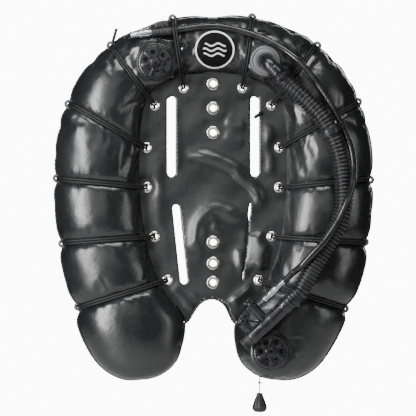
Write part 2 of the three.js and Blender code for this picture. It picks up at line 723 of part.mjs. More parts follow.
function dumpValve(name, { x, z, face, height }) {
  const valve = new THREE.Group();
  valve.position.set(x, face * height, z);
  if (face < 0) valve.rotation.x = Math.PI;
  wing.add(valve);
  const seatProfile = [
    [valveThroat, -valveNeckDepth], [valveNeckRadius, -valveNeckDepth], [valveNeckRadius, gap],
    [valveCapRadius + 1, gap], [valveCapRadius + 1, seatLip], [valveBore, seatLip],
    [valveBore, discLow - gap], [valveThroat, discLow - gap],
  ];
  add(valve, `${name}_seat`, turned(seatProfile, 12, true), plastic);
  add(valve, `${name}_cap`, valveCap(), plastic);
  const discProfile = [
    [0, discLow], [valveBore - 1.5, discLow], [valveBore - 1.5, discTop],
    [stemRadius, discTop], [stemRadius, 10], [0, 10],
  ];
  add(valve, `${name}_disc`, turned(discProfile, 12, false), rubber);
  add(valve, `${name}_spring`, spring(8, 0.6, discTop + gap, capUnder - gap, 3), metal);
}
dumpValve("shoulder_dump", shoulderSeat);
dumpValve("hip_dump", hipSeat);
dumpValve("rear_dump", rearSeat);

// ---------------------------------------------------------------- pull cords
const cordRadius = 1.1;
const shoulderHub = shoulderSeat.height + hubTop + gap + cordRadius;
const shoulderCordRoute = [
  [-103, -shoulderHub, 221], [-102.6, -shoulderHub, 226], [-102.2, -shoulderHub, 232], [-101.6, -shoulderHub, 238],
  [-101, -shoulderHub, 244], [-100.5, -shoulderHub + 1, 250], [-100.2, -shoulderHub + 2, 255],
];
add(wing, "shoulder_dump_cord", swept(curveThrough(shoulderCordRoute), cordRadius, 0, 8, 6), bungeeFinish);
const toggleProfile = [[0, 0], [3, 0], [4.2, 3], [4.2, 6], [3, 9], [0, 9]];
const toggle = alongZ(turned(toggleProfile, 10, false));
add(wing, "shoulder_dump_toggle", at(toggle, -100.1, -shoulderHub + 2.2, 255.4), plastic);

const rearHub = rearSeat.height + hubTop + gap + cordRadius;
const rearCordRoute = [
  [112, rearHub, -288], [110.5, rearHub, -291], [106, rearHub, -299], [101, rearHub, -307.5],
  [96, rearHub, -315.5], [91, rearHub - 3, -323], [87.3, rearHub - 12, -329], [85.2, 45, -334],
  [84.4, 30, -338.5], [84.1, 20, -343.5], [84, 14.5, -349], [84, 13, -355], [84, 12.6, -361],
  [84, 12.4, -367], [84, 12.3, -372.5],
];
add(wing, "rear_dump_cord", swept(curveThrough(rearCordRoute), cordRadius, 0, 8, 22), bungeeFinish);
const knobProfile = [
  [0, -372.8], [4, -372.8], [4.6, -376], [6, -378], [9, -385], [12, -392], [13.4, -398], [12.6, -403.5],
  [9, -407], [0, -408.5],
];
const knob = alongZ(turned(knobProfile, 12, false));
add(wing, "rear_dump_knob", at(knob, 84, 12.3, 0), plastic);

// ---------------------------------------------------------------- power inflator
const inflator = new THREE.Group();
inflator.position.copy(hoseEnd);
inflator.setRotationFromMatrix(new THREE.Matrix4().makeBasis(inflatorAxis, outwards, upLeft));
wing.add(inflator);

const barrelRadius = 13.5;
const barrelBore = 8.5;
const barrelLength = 98;
const buttonArm = { along: 57, radius: 10, top: 46, floor: 38, bore: 6.6, stem: 3 };
const exhaustArm = { along: 88, radius: 9.5, top: 30, floor: 22, bore: 6.6, stem: 3 };
const buttonTravel = 3.5;

// Pieces of an arm are turned about the arm's own axis, with height over the barrel's axis.
const armBar = (along, radius, from, to) => {
  const bar = rod(radius, from, to, 12);
  bar.rotateX(Math.PI / 2);
  bar.translate(along, 0, 0);
  return solid(bar);
};
const barrelProfile = [
  [0, -spigotLength], [spigotRadius, -spigotLength], [spigotRadius, gap], [14.6, gap], [14.6, 18],
  [barrelRadius, 20], [barrelRadius, barrelLength], [0, barrelLength],
];
let body = solid(alongX(turned(barrelProfile, 14, false)));
body = body.add(armBar(buttonArm.along, buttonArm.radius, 0, buttonArm.top));
body = body.add(armBar(exhaustArm.along, exhaustArm.radius, 0, exhaustArm.top));
const webShape = new THREE.Shape();
webShape.moveTo(buttonArm.along, 8);
webShape.lineTo(exhaustArm.along, 8);
webShape.lineTo(exhaustArm.along, 22);
webShape.lineTo(exhaustArm.along - 14, 28);
webShape.lineTo(buttonArm.along, 42);
webShape.closePath();
body = body.add(solid(plate(webShape, 4, 1)));
body = body.subtract(solid(alongX(rod(barrelBore, -spigotLength - 5, barrelLength + 20, 12))));
for (const arm of [buttonArm, exhaustArm]) {
  body = body.subtract(armBar(arm.along, arm.bore, arm.floor, arm.top + 5));
  body = body.subtract(armBar(arm.along, arm.stem + 0.5, 0, arm.top));
}
body = body.subtract(solid(at(alongX(rod(2.5, -15, 0, 8)), buttonArm.along, 0, inletAxis)));
add(inflator, "inflator_body", geometryOf(body), plastic);

function button(name, arm, radius, thickness) {
  const low = arm.top + buttonTravel + 1;
  const profile = [
    [0, arm.floor - 8], [arm.stem, arm.floor - 8], [arm.stem, low], [radius, low],
    [radius, low + thickness - 1], [radius - 1.5, low + thickness], [0, low + thickness],
  ];
  const cap = turned(profile, 14, false);
  cap.rotateX(Math.PI / 2);
  add(inflator, `${name}_button`, at(cap, arm.along, 0, 0), greyPlastic);
  const coil = spring(arm.bore - 1.6, 0.5, arm.floor + gap, low - gap, 4);
  coil.rotateX(Math.PI / 2);
  add(inflator, `${name}_spring`, at(coil, arm.along, 0, 0), metal);
}
button("inflate", buttonArm, 9, 5);
button("exhaust", exhaustArm, 12.5, 5);

const mouthStart = barrelLength + gap;
const mouthTube = solid(alongX(rod(11, mouthStart, mouthStart + 14, 12)));
const mouthLip = solid(at(alongX(rod(11, 0, 5, 14)).scale(1, 1.55, 1), mouthStart + 13, 0, 0));
const mouthpiece = mouthTube.add(mouthLip).subtract(solid(alongX(rod(7.5, mouthStart - 5, mouthStart + 30, 12))));
add(inflator, "mouthpiece", geometryOf(mouthpiece), rubber);

const couplerTo = 33;
const nippleEnd = buttonArm.along - buttonArm.radius - gap;
const onInlet = (geometry) => at(alongX(geometry), 0, 0, inletAxis);
const couplerProfile = [
  [0, couplerFrom], [5.5, couplerFrom], [5.5, -8], [6.6, -7], [6.6, couplerTo - 6], [8, couplerTo - 5],
  [8, couplerTo], [0, couplerTo],
];
add(inflator, "coupler_body", onInlet(turned(couplerProfile, 12, false)), metal);
const collarInner = 6.6 + gap;
const collarProfile = [[collarInner, 2], [8.6, 2], [8.6, 5], [7.9, 7], [7.9, 15], [8.6, 17], [8.6, 20], [collarInner, 20]];
add(inflator, "coupler_collar", onInlet(turned(collarProfile, 14, true)), metal);
const nippleProfile = [
  [0, couplerTo + gap], [5, couplerTo + gap], [5, 38], [4, 39], [4, nippleEnd - 3], [6, nippleEnd - 2],
  [6, nippleEnd], [0, nippleEnd],
];
add(inflator, "inlet_nipple", onInlet(turned(nippleProfile, 10, false)), metal);

// ---------------------------------------------------------------- first-stage end of the air hose
const hoseTop = new THREE.Vector3(...airHoseRoute[0]);
const hoseTopRun = new THREE.Vector3(...airHoseRoute[2]).sub(hoseTop).normalize();
const sleeveInner = airHoseRadius + gap;
const sleeveProfile = [
  [sleeveInner, 1], [sleeveRadius, 1], [sleeveRadius, 32], [sleeveRadius - 0.8, 37], [sleeveInner, 37],
];
add(wing, "hose_sleeve", directed(turned(sleeveProfile, 12, true), hoseTop, hoseTopRun), rubber);
const fittingProfile = [
  [0, 0.5], [6, 0.5], [6, 3], [7.8, 4], [7.8, 13], [6.4, 14], [6.4, 23], [5, 24], [5, 28], [6.5, 29], [6.5, 38],
  [5, 39], [0, 39],
];
add(wing, "first_stage_fitting",
  directed(turned(fittingProfile, 12, false), hoseTop, hoseTopRun.clone().negate()), metal);

// ---------------------------------------------------------------- sewn-on pieces
function patch(outline, thickness) {
  const layer = solid(tubeSkin(-gap - thickness)).subtract(solid(tubeSkin(-gap)));
  const column = plate(outline, 160, 20);
  column.translate(0, -80 - 5, 0);
  return geometryOf(layer.intersect(solid(column)));
}
const badgeShape = new THREE.Shape(circlePoints(36, 24).map((point) => point.add(new THREE.Vector2(3, 244))));
add(wing, "badge", patch(badgeShape, 1.2), badgeFinish);

export default wing;
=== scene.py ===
# %% [markdown]
# # A diving wing, piece by piece
# A wing is a bag of air that a diver wears behind the back. Two lobes of heavy coated cloth hold a
# bladder, and rubber cord is laced round them so that they lie flat when the air is let out.
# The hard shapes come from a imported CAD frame. This lesson dresses that frame: first the camera and
# the light, then one piece after another, each riding on the CAD body that it belongs to.

# %% The frame
import json
import math

import bmesh
import bpy
import numpy as np
from mathutils import Matrix, Vector, geometry
from mathutils.bvhtree import BVHTree

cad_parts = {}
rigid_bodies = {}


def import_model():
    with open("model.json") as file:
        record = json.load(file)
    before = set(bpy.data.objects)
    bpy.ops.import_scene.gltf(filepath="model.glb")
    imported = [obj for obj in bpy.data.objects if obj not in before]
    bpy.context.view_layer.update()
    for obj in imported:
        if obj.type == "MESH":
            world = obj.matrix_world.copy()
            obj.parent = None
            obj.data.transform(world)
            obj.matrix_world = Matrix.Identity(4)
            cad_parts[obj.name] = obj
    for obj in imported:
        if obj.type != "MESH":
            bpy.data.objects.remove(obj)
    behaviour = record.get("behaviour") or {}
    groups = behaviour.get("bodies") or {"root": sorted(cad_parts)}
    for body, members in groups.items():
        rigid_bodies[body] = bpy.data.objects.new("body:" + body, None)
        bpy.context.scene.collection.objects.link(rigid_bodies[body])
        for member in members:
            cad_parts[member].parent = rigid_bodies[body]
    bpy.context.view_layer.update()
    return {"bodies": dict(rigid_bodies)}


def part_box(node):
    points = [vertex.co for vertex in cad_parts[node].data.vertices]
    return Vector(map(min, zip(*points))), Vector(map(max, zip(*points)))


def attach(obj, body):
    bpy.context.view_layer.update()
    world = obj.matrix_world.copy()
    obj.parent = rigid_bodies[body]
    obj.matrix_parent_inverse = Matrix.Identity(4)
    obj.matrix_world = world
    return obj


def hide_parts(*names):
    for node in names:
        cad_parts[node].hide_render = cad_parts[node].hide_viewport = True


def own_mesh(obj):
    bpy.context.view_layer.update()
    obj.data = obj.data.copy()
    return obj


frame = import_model()
MM = 0.001
print("bodies:", ", ".join(sorted(frame["bodies"])))

# %% [markdown]
# ## Camera
# The wing is looked at square from the front. A long lens from far away keeps both lobes the same
# size, as a catalogue picture does; a short lens would swell whatever is nearest.

# %% Camera
VIEW_WIDTH = 748.8 * MM
VIEW_CENTRE = Vector((-9.0, 0.0, -40.1)) * MM
CAMERA_DISTANCE = 14.0
SENSOR = 36.0

camera_data = bpy.data.cameras.new("camera")
camera_data.sensor_width = SENSOR
camera_data.lens = SENSOR * CAMERA_DISTANCE / VIEW_WIDTH
camera = bpy.data.objects.new("camera", camera_data)
camera.location = VIEW_CENTRE + Vector((0, -CAMERA_DISTANCE, 0))
camera.rotation_euler = (math.pi / 2, 0, 0)
bpy.context.scene.collection.objects.link(camera)
bpy.context.scene.camera = camera
print("lens", round(camera_data.lens), "mm")

# %% [markdown]
# ## Shader maths
# A finish is built from small sums: a grain times a depth, one minus a mask. Wrapping a socket in a
# class with Python's operators lets those sums be written as they are said. Numbers go through
# Math nodes, colours through a Mix node, and every other node comes from one method.


# %% A socket with operators
class Signal:
    """One output of a finish's nodes, which can be added, multiplied and compared."""

    def __init__(self, finish, socket):
        self.finish, self.socket = finish, socket

    def sum(self, operation, *operands):
        return self.finish.node("ShaderNodeMath", {"operation": operation}, dict(enumerate(operands)))

    def __add__(self, other):
        return self.sum("ADD", self, other)

    def __sub__(self, other):
        return self.sum("SUBTRACT", self, other)

    def __rsub__(self, other):
        return self.sum("SUBTRACT", other, self)

    def __mul__(self, other):
        return self.sum("MULTIPLY", self, other)

    def __truediv__(self, other):
        return self.sum("DIVIDE", self, other)

    def __rtruediv__(self, other):
        return self.sum("DIVIDE", other, self)

    def __pow__(self, other):
        return self.sum("POWER", self, other)

    def __lt__(self, other):
        return self.sum("LESS_THAN", self, other)

    def __gt__(self, other):
        return self.sum("GREATER_THAN", self, other)

    def __abs__(self):
        return self.sum("ABSOLUTE", self)

    __radd__, __rmul__ = __add__, __mul__

    def sine(self):
        return self.sum("SINE", self)

    def ramp(self, low, high):
        """0 at low, 1 at high, eased between them."""
        inputs = {"Value": self, "From Min": low, "From Max": high}
        return self.finish.node("ShaderNodeMapRange", {"interpolation_type": "SMOOTHSTEP"}, inputs)


# %% A finish and its one node method
class Finish:
    """A named material. Steady values sit on the shader's own sockets."""

    def __init__(self, name, colour, roughness, **steady):
        self.material = bpy.data.materials.new(name)
        self.material.use_nodes = True
        self.tree = self.material.node_tree
        self.shader = self.tree.nodes["Principled BSDF"]
        self.material.diffuse_color = (*colour, 1)
        self.give("Base Color", (*colour, 1))
        self.give("Roughness", roughness)
        for socket, value in steady.items():
            self.give(socket.replace("_", " "), value)

    def join(self, value, socket):
        if isinstance(value, Signal):
            self.tree.links.new(value.socket, socket)
        else:
            socket.default_value = value

    def give(self, socket, value):
        self.join(value, self.shader.inputs[socket])

    def node(self, kind, settings=None, inputs=None, output=0):
        made = self.tree.nodes.new(kind)
        for name, value in (settings or {}).items():
            setattr(made, name, value)
        for name, value in (inputs or {}).items():
            self.join(value, made.inputs[name])
        return Signal(self, made.outputs[output])

    def place(self):
        """Where a point is on the object, in metres."""
        return self.node("ShaderNodeTexCoord", output="Object")

    def split(self, vector):
        parts = self.node("ShaderNodeSeparateXYZ", inputs={0: vector})
        return [Signal(self, socket) for socket in parts.socket.node.outputs]

    def stretch(self, vector, scale):
        return self.node("ShaderNodeMapping", inputs={"Vector": vector, "Scale": scale})

    def noise(self, scale, detail=3.0, where=None):
        inputs = {"Vector": where or self.place(), "Scale": scale, "Detail": detail}
        return self.node("ShaderNodeTexNoise", inputs=inputs)

    def cells(self, scale, where=None):
        inputs = {"Vector": where or self.place(), "Scale": scale}
        return self.node("ShaderNodeTexVoronoi", inputs=inputs)

    def colours(self, factor, dark, light):
        inputs = {0: factor, 6: (*dark, 1), 7: (*light, 1)}
        return self.node("ShaderNodeMix", {"data_type": "RGBA"}, inputs, output=2)

    def bump(self, height, depth, under=None):
        inputs = {"Height": height, "Distance": depth, "Strength": 1.0}
        if under is not None:
            inputs["Normal"] = under
        return self.node("ShaderNodeBump", inputs=inputs)


print("shader kit ready")

# %% [markdown]
# ## Light and floor
# Black cloth shows its shape only by what it mirrors, so the lamps matter more than the colour.
# A tall soft box at the left of the camera draws the long highlight down each lobe, a second one
# above lights the bend, and a weak one at the right opens the shadows. The floor is pale and round
# and fades out at its rim.

# %% World, floor and lamps
world = bpy.data.worlds.new("studio")
bpy.context.scene.world = world
world.use_nodes = True
sky = world.node_tree
sky_light = sky.nodes["Background"]
sky_light.inputs["Color"].default_value = (1, 1, 1, 1)
sky_light.inputs["Strength"].default_value = 0.05
sky_white = sky.nodes.new("ShaderNodeBackground")
sky_white.inputs["Strength"].default_value = 14.0
seen_directly = sky.nodes.new("ShaderNodeLightPath")
sky_mix = sky.nodes.new("ShaderNodeMixShader")
sky.links.new(seen_directly.outputs["Is Camera Ray"], sky_mix.inputs[0])
sky.links.new(sky_light.outputs[0], sky_mix.inputs[1])
sky.links.new(sky_white.outputs[0], sky_mix.inputs[2])
sky.links.new(sky_mix.outputs[0], sky.nodes["World Output"].inputs[0])

FLOOR_HEIGHT = -0.52
FLOOR_RADIUS = 1.2
floor_mesh = bpy.data.meshes.new("floor")
rim = [(FLOOR_RADIUS * math.cos(a), FLOOR_RADIUS * math.sin(a), FLOOR_HEIGHT)
       for a in np.linspace(0, 2 * math.pi, 96, endpoint=False)]
floor_mesh.from_pydata(rim, [], [tuple(range(len(rim)))])
floor = bpy.data.objects.new("floor", floor_mesh)
bpy.context.scene.collection.objects.link(floor)
floor_paint = Finish("pale_floor", (0.82, 0.82, 0.82), 0.8)
floor_x, floor_y, _ = floor_paint.split(floor_paint.place())
floor_paint.give("Alpha", 1 - ((floor_x ** 2 + floor_y ** 2) ** 0.5).ramp(0.7, FLOOR_RADIUS - 0.02))
floor_mesh.materials.append(floor_paint.material)


def soft_box(name, place, target, size, power):
    lamp = bpy.data.lights.new(name, "AREA")
    lamp.shape = "RECTANGLE"
    lamp.size, lamp.size_y = size
    lamp.energy = power
    holder = bpy.data.objects.new(name, lamp)
    holder.location = place
    holder.rotation_euler = (Vector(target) - Vector(place)).to_track_quat("-Z", "Y").to_euler()
    bpy.context.scene.collection.objects.link(holder)
    print("lamp", name, power, "W")


soft_box("key_left", (-1.75, -1.9, 0.25), (0, 0, 0), (0.5, 2.0), 125)
soft_box("top", (0.1, -1.1, 2.1), (0, 0, 0.1), (1.8, 0.6), 50)
soft_box("fill_right", (2.4, -1.5, 0.2), (0, 0, 0), (0.8, 1.8), 16)
soft_box("front", (-0.3, -3.6, 0.9), (0, 0, 0), (2.4, 1.6), 18)
soft_box("back", (0.6, 3.2, 0.9), (0, 0, 0), (2.6, 2.0), 85)

# %% [markdown]
# ## Mesh kit
# Most hard parts are turned or swept. A turned profile gets small rounded corners, because a real
# edge is never sharp and its roundness is what catches light. A swept tube carries a vector on its
# points, how far along and how far round, so that a braid can follow it through every bend.


# %% Pieces from points and faces
def piece(name, points, faces, body, slot, finish, crease=38, lay=None, hides=()):
    mesh = bpy.data.meshes.new(name)
    mesh.from_pydata([tuple(p) for p in points], [], [tuple(int(i) for i in f) for f in faces])
    if lay is not None:
        layer = mesh.attributes.new("lay", "FLOAT_VECTOR", "POINT")
        layer.data.foreach_set("vector", np.asarray(lay, np.float32).ravel())
    mesh.materials.append(finish.material)
    made = bpy.data.objects.new(name, mesh)
    bpy.context.scene.collection.objects.link(made)
    mesh.shade_smooth()
    mesh.set_sharp_from_angle(angle=math.radians(crease))
    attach(made, body)
    if hides:
        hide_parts(*hides)
    return made


def joined(*parts):
    """Several (points, faces) as one."""
    points, faces, start = [], [], 0
    for some, around in parts:
        points.extend(some)
        faces.extend([tuple(i + start for i in face) for face in around])
        start += len(some)
    return points, faces


def placed(part, matrix):
    points, faces = part
    return [matrix @ Vector(p) for p in points], faces


def basis(origin, x, y, z):
    """A matrix that takes local axes to these directions, at origin."""
    turn = Matrix((x, y, z)).transposed().to_4x4()
    return Matrix.Translation(origin) @ turn


def upright(origin, direction):
    """Takes +Z to a direction at origin."""
    return Matrix.Translation(origin) @ Vector(direction).to_track_quat("Z", "Y").to_matrix().to_4x4()


# %% Turned parts
def rounded(profile, radius, steps=3):
    """The profile with each inner corner replaced by a short arc."""
    points = [Vector(p) for p in profile]
    out = [points[0]]
    for before, corner, after in zip(points, points[1:], points[2:]):
        one, two = before - corner, after - corner
        cut = min(radius, one.length * 0.45, two.length * 0.45)
        if cut <= 1e-6:
            out.append(corner)
            continue
        start, end = corner + one.normalized() * cut, corner + two.normalized() * cut
        for k in range(steps + 1):
            t = k / steps
            out.append(start * (1 - t) ** 2 + corner * 2 * t * (1 - t) + end * t * t)
    out.append(points[-1])
    return [(p.x, p.y) for p in out]


def turned(profile, segments=48, ribs=0, rib_depth=0.0, ribbed=None):
    """A lathe shape about +Z from (radius, height) in mm. A profile that ends off the axis closes on
    itself. ribs flutes the points whose radius and height ribbed() accepts."""
    points, faces, rows = [], [], []
    for radius, height in profile:
        if radius < 1e-6:
            rows.append([len(points)])
            points.append((0, 0, height * MM))
            continue
        row = []
        for k in range(segments):
            angle = 2 * math.pi * k / segments
            reach = radius
            if ribs and ribbed(radius, height):
                reach -= rib_depth * (0.5 - 0.5 * math.cos(ribs * angle)) ** 0.7
            row.append(len(points))
            points.append((reach * MM * math.cos(angle), reach * MM * math.sin(angle), height * MM))
        rows.append(row)
    if profile[0][0] > 1e-6:
        rows.append(rows[0])
    for low, high in zip(rows, rows[1:]):
        for k in range(segments):
            n = (k + 1) % segments
            if len(low) == 1 and len(high) == 1:
                continue
            if len(low) == 1:
                faces.append((low[0], high[n], high[k]))
            elif len(high) == 1:
                faces.append((low[k], low[n], high[0]))
            else:
                faces.append((low[k], low[n], high[n], high[k]))
    return points, faces


# %% Swept parts
def curve_through(route, spacing):
    """Evenly spaced points on a centripetal Catmull-Rom curve, as in the CAD."""
    p = np.array(route, float)
    p = np.vstack([2 * p[0] - p[1], p, 2 * p[-1] - p[-2]])
    dense = []
    for i in range(1, len(p) - 2):
        knots = [0.0]
        for a, b in zip(p[i - 1:i + 2], p[i:i + 3]):
            knots.append(knots[-1] + max(np.linalg.norm(b - a), 1e-9) ** 0.5)
        t = np.linspace(knots[1], knots[2], 24, endpoint=False)[:, None]

        def blend(a, b, low, high):
            return (a * (high - t) + b * (t - low)) / (high - low)

        one = blend(p[i - 1], p[i], knots[0], knots[1])
        two = blend(p[i], p[i + 1], knots[1], knots[2])
        three = blend(p[i + 1], p[i + 2], knots[2], knots[3])
        four, five = blend(one, two, knots[0], knots[2]), blend(two, three, knots[1], knots[3])
        dense.append(blend(four, five, knots[1], knots[2]))
    dense = np.vstack([*dense, p[-2][None]])
    return respaced(dense, spacing)


def respaced(points, spacing):
    steps = np.linalg.norm(np.diff(points, axis=0), axis=1)
    far = np.concatenate([[0], np.cumsum(steps)])
    count = max(2, int(round(far[-1] / spacing)) + 1)
    at = np.linspace(0, far[-1], count)
    return np.stack([np.interp(at, far, points[:, k]) for k in range(points.shape[1])], axis=1)


def swept(path, radius, sides=12, loop=False, bore=0.0):
    """A tube along path, in metres. radius is a number, or one for each point. Returns its points,
    its faces and, for each point, how far along and round the tube it is."""
    path = np.asarray(path, float)
    count = len(path)
    radii = np.full(count, radius) if np.isscalar(radius) else np.asarray(radius)
    ahead = np.roll(path, -1, 0) - np.roll(path, 1, 0)
    if not loop:
        ahead[0], ahead[-1] = path[1] - path[0], path[-1] - path[-2]
    ahead /= np.linalg.norm(ahead, axis=1)[:, None]
    normal = np.cross(ahead[0], (0.0, 1.0, 0.05))
    normals = []
    for along in ahead:
        normal = normal - along * normal.dot(along)
        normal /= np.linalg.norm(normal)
        normals.append(normal)
    normals = np.array(normals)
    if loop:
        side = np.cross(ahead[0], normals[0])
        last = normals[-1]
        twist = math.atan2(last.dot(side), last.dot(normals[0]))
        turn = -twist * np.arange(count) / count
        others = np.cross(ahead, normals)
        normals = normals * np.cos(turn)[:, None] + others * np.sin(turn)[:, None]
    others = np.cross(ahead, normals)
    angles = 2 * math.pi * np.arange(sides) / sides
    far = np.concatenate([[0], np.cumsum(np.linalg.norm(np.diff(path, axis=0), axis=1))])

    def skin(widths):
        ring = (np.cos(angles)[None, :, None] * normals[:, None]
                + np.sin(angles)[None, :, None] * others[:, None])
        return (path[:, None] + ring * widths[:, None, None]).reshape(-1, 3)

    points = skin(radii)
    lay = np.stack([np.repeat(far, sides), np.tile(angles / (2 * math.pi), count), np.zeros(count * sides)], 1)
    faces = []
    spans = count if loop else count - 1
    for i in range(spans):
        a, b = i * sides, ((i + 1) % count) * sides
        faces += [(a + j, a + (j + 1) % sides, b + (j + 1) % sides, b + j) for j in range(sides)]
    last = (count - 1) * sides
    if bore:
        inside = skin(np.full(count, bore))
        start = len(points)
        points = np.vstack([points, inside])
        lay = np.vstack([lay, lay])
        faces += [tuple(start + k for k in reversed(face)) for face in faces[:spans * sides]]
        for j in range(sides):
            n = (j + 1) % sides
            faces.append((j, start + j, start + n, n))
            faces.append((last + j, last + n, start + last + n, start + last + j))
    elif not loop:
        faces.append(tuple(reversed(range(sides))))
        faces.append(tuple(range(last, last + sides)))
    return points, faces, lay


print("mesh kit ready")

# %% [markdown]
# ## Finishes
# The lobes are heavy nylon with a rubbery coat: almost black, with a broad sheen and a fine pebbled
# grain. Hoses are smooth rubber, seals are dull, moulded parts have a faint orange-peel skin, and the
# metal is nickel or chrome with hair scratches. Each finish varies a little over the surface, in colour and
# in roughness, because an even one looks like computer plastic.


# %% Coated cloth
def coated_cloth(name, dark, light, sheen_rough, grain):
    cloth = Finish(name, dark, sheen_rough, Specular_IOR_Level=0.55, Coat_Weight=0.12, Coat_Roughness=0.28)
    handled = cloth.noise(9.0, 5.0).ramp(0.38, 0.68)
    dust = cloth.noise(60.0, 4.0)
    cloth.give("Base Color", cloth.colours(handled * 0.6 + dust * 0.4, dark, light))
    cloth.give("Roughness", sheen_rough + handled * 0.07 + (dust - 0.5) * 0.10)
    pebble = cloth.cells(760.0)
    threads = cloth.noise(1500.0, 2.0)
    slack = cloth.noise(38.0, 3.0)
    skin = cloth.bump(slack, 0.0009)
    cloth.give("Normal", cloth.bump(pebble * 0.7 + threads * 0.3, grain, skin))
    return cloth


cover_cloth = coated_cloth("coated_nylon", (0.0065, 0.0067, 0.0072), (0.013, 0.0134, 0.0142), 0.27, 0.00010)
panel_cloth = coated_cloth("panel_nylon", (0.0075, 0.0077, 0.0082), (0.016, 0.0164, 0.0172), 0.30, 0.00012)
bladder_film = coated_cloth("urethane_film", (0.05, 0.055, 0.06), (0.07, 0.075, 0.08), 0.3, 0.00004)
print("cloth finishes:", cover_cloth.material.name, panel_cloth.material.name)


# %% Braid, webbing and tape
def braided(name, dark, light, pitch, turns, fleck=0.0, depth=0.0003):
    """Strands that cross each other along a cord, from the cord's own lay."""
    braid = Finish(name, dark, 0.6, Specular_IOR_Level=0.4)
    lay = braid.node("ShaderNodeAttribute", {"attribute_name": "lay"}, output="Vector")
    along, around, _ = braid.split(lay)
    sweep = along * (2 * math.pi / pitch)
    twist = around * (2 * math.pi * turns)
    strands = abs((sweep + twist).sine()) * abs((sweep - twist).sine())
    # The strand tops are painted lighter and the gaps between strands darker: painted shade in the grooves. The
    # flecks are the cord's own colour.
    shade = strands.ramp(0.05, 0.6)
    speckle = braid.noise(700.0, 1.0).ramp(0.6, 0.7) * fleck
    braid.give("Base Color", braid.colours(shade * 0.7 + speckle, dark, light))
    braid.give("Roughness", 0.62 - shade * 0.16)
    braid.give("Normal", braid.bump(strands, depth))
    return braid


lace_braid = braided("braided_sheath", (0.0035, 0.0035, 0.004), (0.012, 0.012, 0.013), 0.0035, 3, depth=0.00015)
loop_braid = braided("flecked_loop", (0.012, 0.012, 0.013), (0.26, 0.26, 0.265), 0.003, 2, 0.8)
cord_braid = braided("pull_cord", (0.010, 0.010, 0.011), (0.045, 0.045, 0.048), 0.0022, 2)
tape_weave = braided("binding_tape", (0.006, 0.006, 0.0065), (0.022, 0.022, 0.023), 0.0028, 6, depth=0.00008)
print("braids:", lace_braid.material.name, loop_braid.material.name)


# %% Plastic, rubber and metal
def moulded(name, dark, light, roughness, skin=0.00006, **steady):
    """Injection-moulded plastic or rubber: a faint orange peel and handling marks."""
    part = Finish(name, dark, roughness, **steady)
    wear = part.noise(45.0, 6.0).ramp(0.42, 0.72)
    part.give("Base Color", part.colours(wear, dark, light))
    part.give("Roughness", roughness + wear * 0.12)
    peel = part.noise(900.0, 2.0)
    part.give("Normal", part.bump(peel, skin))
    return part


def plated(name, colour, roughness):
    """Nickel or chrome with hair scratches that run round the part."""
    metal = Finish(name, colour, roughness, Metallic=1.0)
    place = metal.place()
    scratches = metal.noise(160.0, 4.0, metal.stretch(place, (1, 1, 9))).ramp(0.45, 0.65)
    film = metal.noise(30.0, 3.0)
    darker = tuple(c * 0.72 for c in colour)
    metal.give("Base Color", metal.colours(film * 0.8, colour, darker))
    metal.give("Roughness", roughness + scratches * 0.12)
    metal.give("Normal", metal.bump(scratches, 0.00002))
    return metal


black_plastic = moulded("black_plastic", (0.007, 0.007, 0.008), (0.015, 0.015, 0.017), 0.24, 0.00003)
grey_plastic = moulded("grey_plastic", (0.12, 0.125, 0.13), (0.17, 0.175, 0.18), 0.36)
seal_rubber = moulded("seal_rubber", (0.010, 0.010, 0.010), (0.022, 0.022, 0.022), 0.5)
hose_rubber = moulded("hose_rubber", (0.011, 0.011, 0.012), (0.017, 0.017, 0.018), 0.31, 0.000004)
air_hose_rubber = moulded("air_hose_rubber", (0.010, 0.010, 0.011), (0.022, 0.022, 0.023), 0.17, 0.000004)
nickel = plated("nickel", (0.66, 0.65, 0.62), 0.20)
chrome = plated("chrome", (0.74, 0.75, 0.77), 0.16)
spring_wire = plated("spring_wire", (0.60, 0.60, 0.62), 0.25)
# A lighter copy of the black plastic, for the handset's webs, which are part of the same moulding: a painted
# highlight on their flat faces.
web_highlight_plastic = moulded("web_highlight_plastic", (0.035, 0.036, 0.038), (0.06, 0.062, 0.064), 0.42, 0.00003)
satin_metal = plated("satin_metal", (0.13, 0.13, 0.135), 0.5)
print("hard finishes:", black_plastic.material.name, nickel.material.name, chrome.material.name)

# %% [markdown]
# ## The outline
# The cell is drawn as two half outlines, the outer seam and the inner one, from the tip of a lobe to
# the middle of the bend. A section joins the two edges at equal shares of their length. The CAD uses
# the same lists, so every piece made from them lands where the frame says.

# %% Outline of the cell
OUTER = [(128, -348), (150, -346.5), (170, -339), (190, -325), (203, -310), (213, -295), (227, -269),
         (238, -242), (246, -213), (257, -184), (269, -141), (277, -83), (282.5, -25), (282.5, 40),
         (280.5, 75), (271.5, 118), (255.5, 160), (232, 203), (207.5, 230), (175, 258.5), (147, 273.5),
         (110, 287.5), (60, 301.5), (0, 306.5)]
INNER = [(128, -348), (106, -346), (86, -339), (68, -326), (56, -310), (50, -290), (46, -268), (47, -245),
         (66, -215), (88, -188), (104, -155), (117, -115), (127, -60), (132, 0), (132, 62), (128, 122),
         (115, 163), (84, 189), (43, 202), (0, 206)]
NOTCH = [(43, -246), (36, -232), (30, -220), (22.5, -210), (12, -203), (0, -200.5)]
PANEL_START = -246.0
LACES = [((53, 176), (71.5, 302)), ((105, 145), (187, 254)), ((119.5, 68.5), (264, 151)),
         ((119, -3), (287, 12.5)), ((105.5, -91.5), (277, -103)), ((82, -170), (248, -222))]
PINCH = [0.10, 0.12, 0.13, 0.15, 0.17, 0.20]
# A section is at most this half deep, and nears it as it gets wider.
HALF_DEPTH, DEPTH_RISE = 65.0, 42.0


def eased(t):
    t = np.clip(t, 0, 1)
    return t * t * (3 - 2 * t)


def sway(z):
    return -8.0 * eased((-150.0 - z) / 160.0)


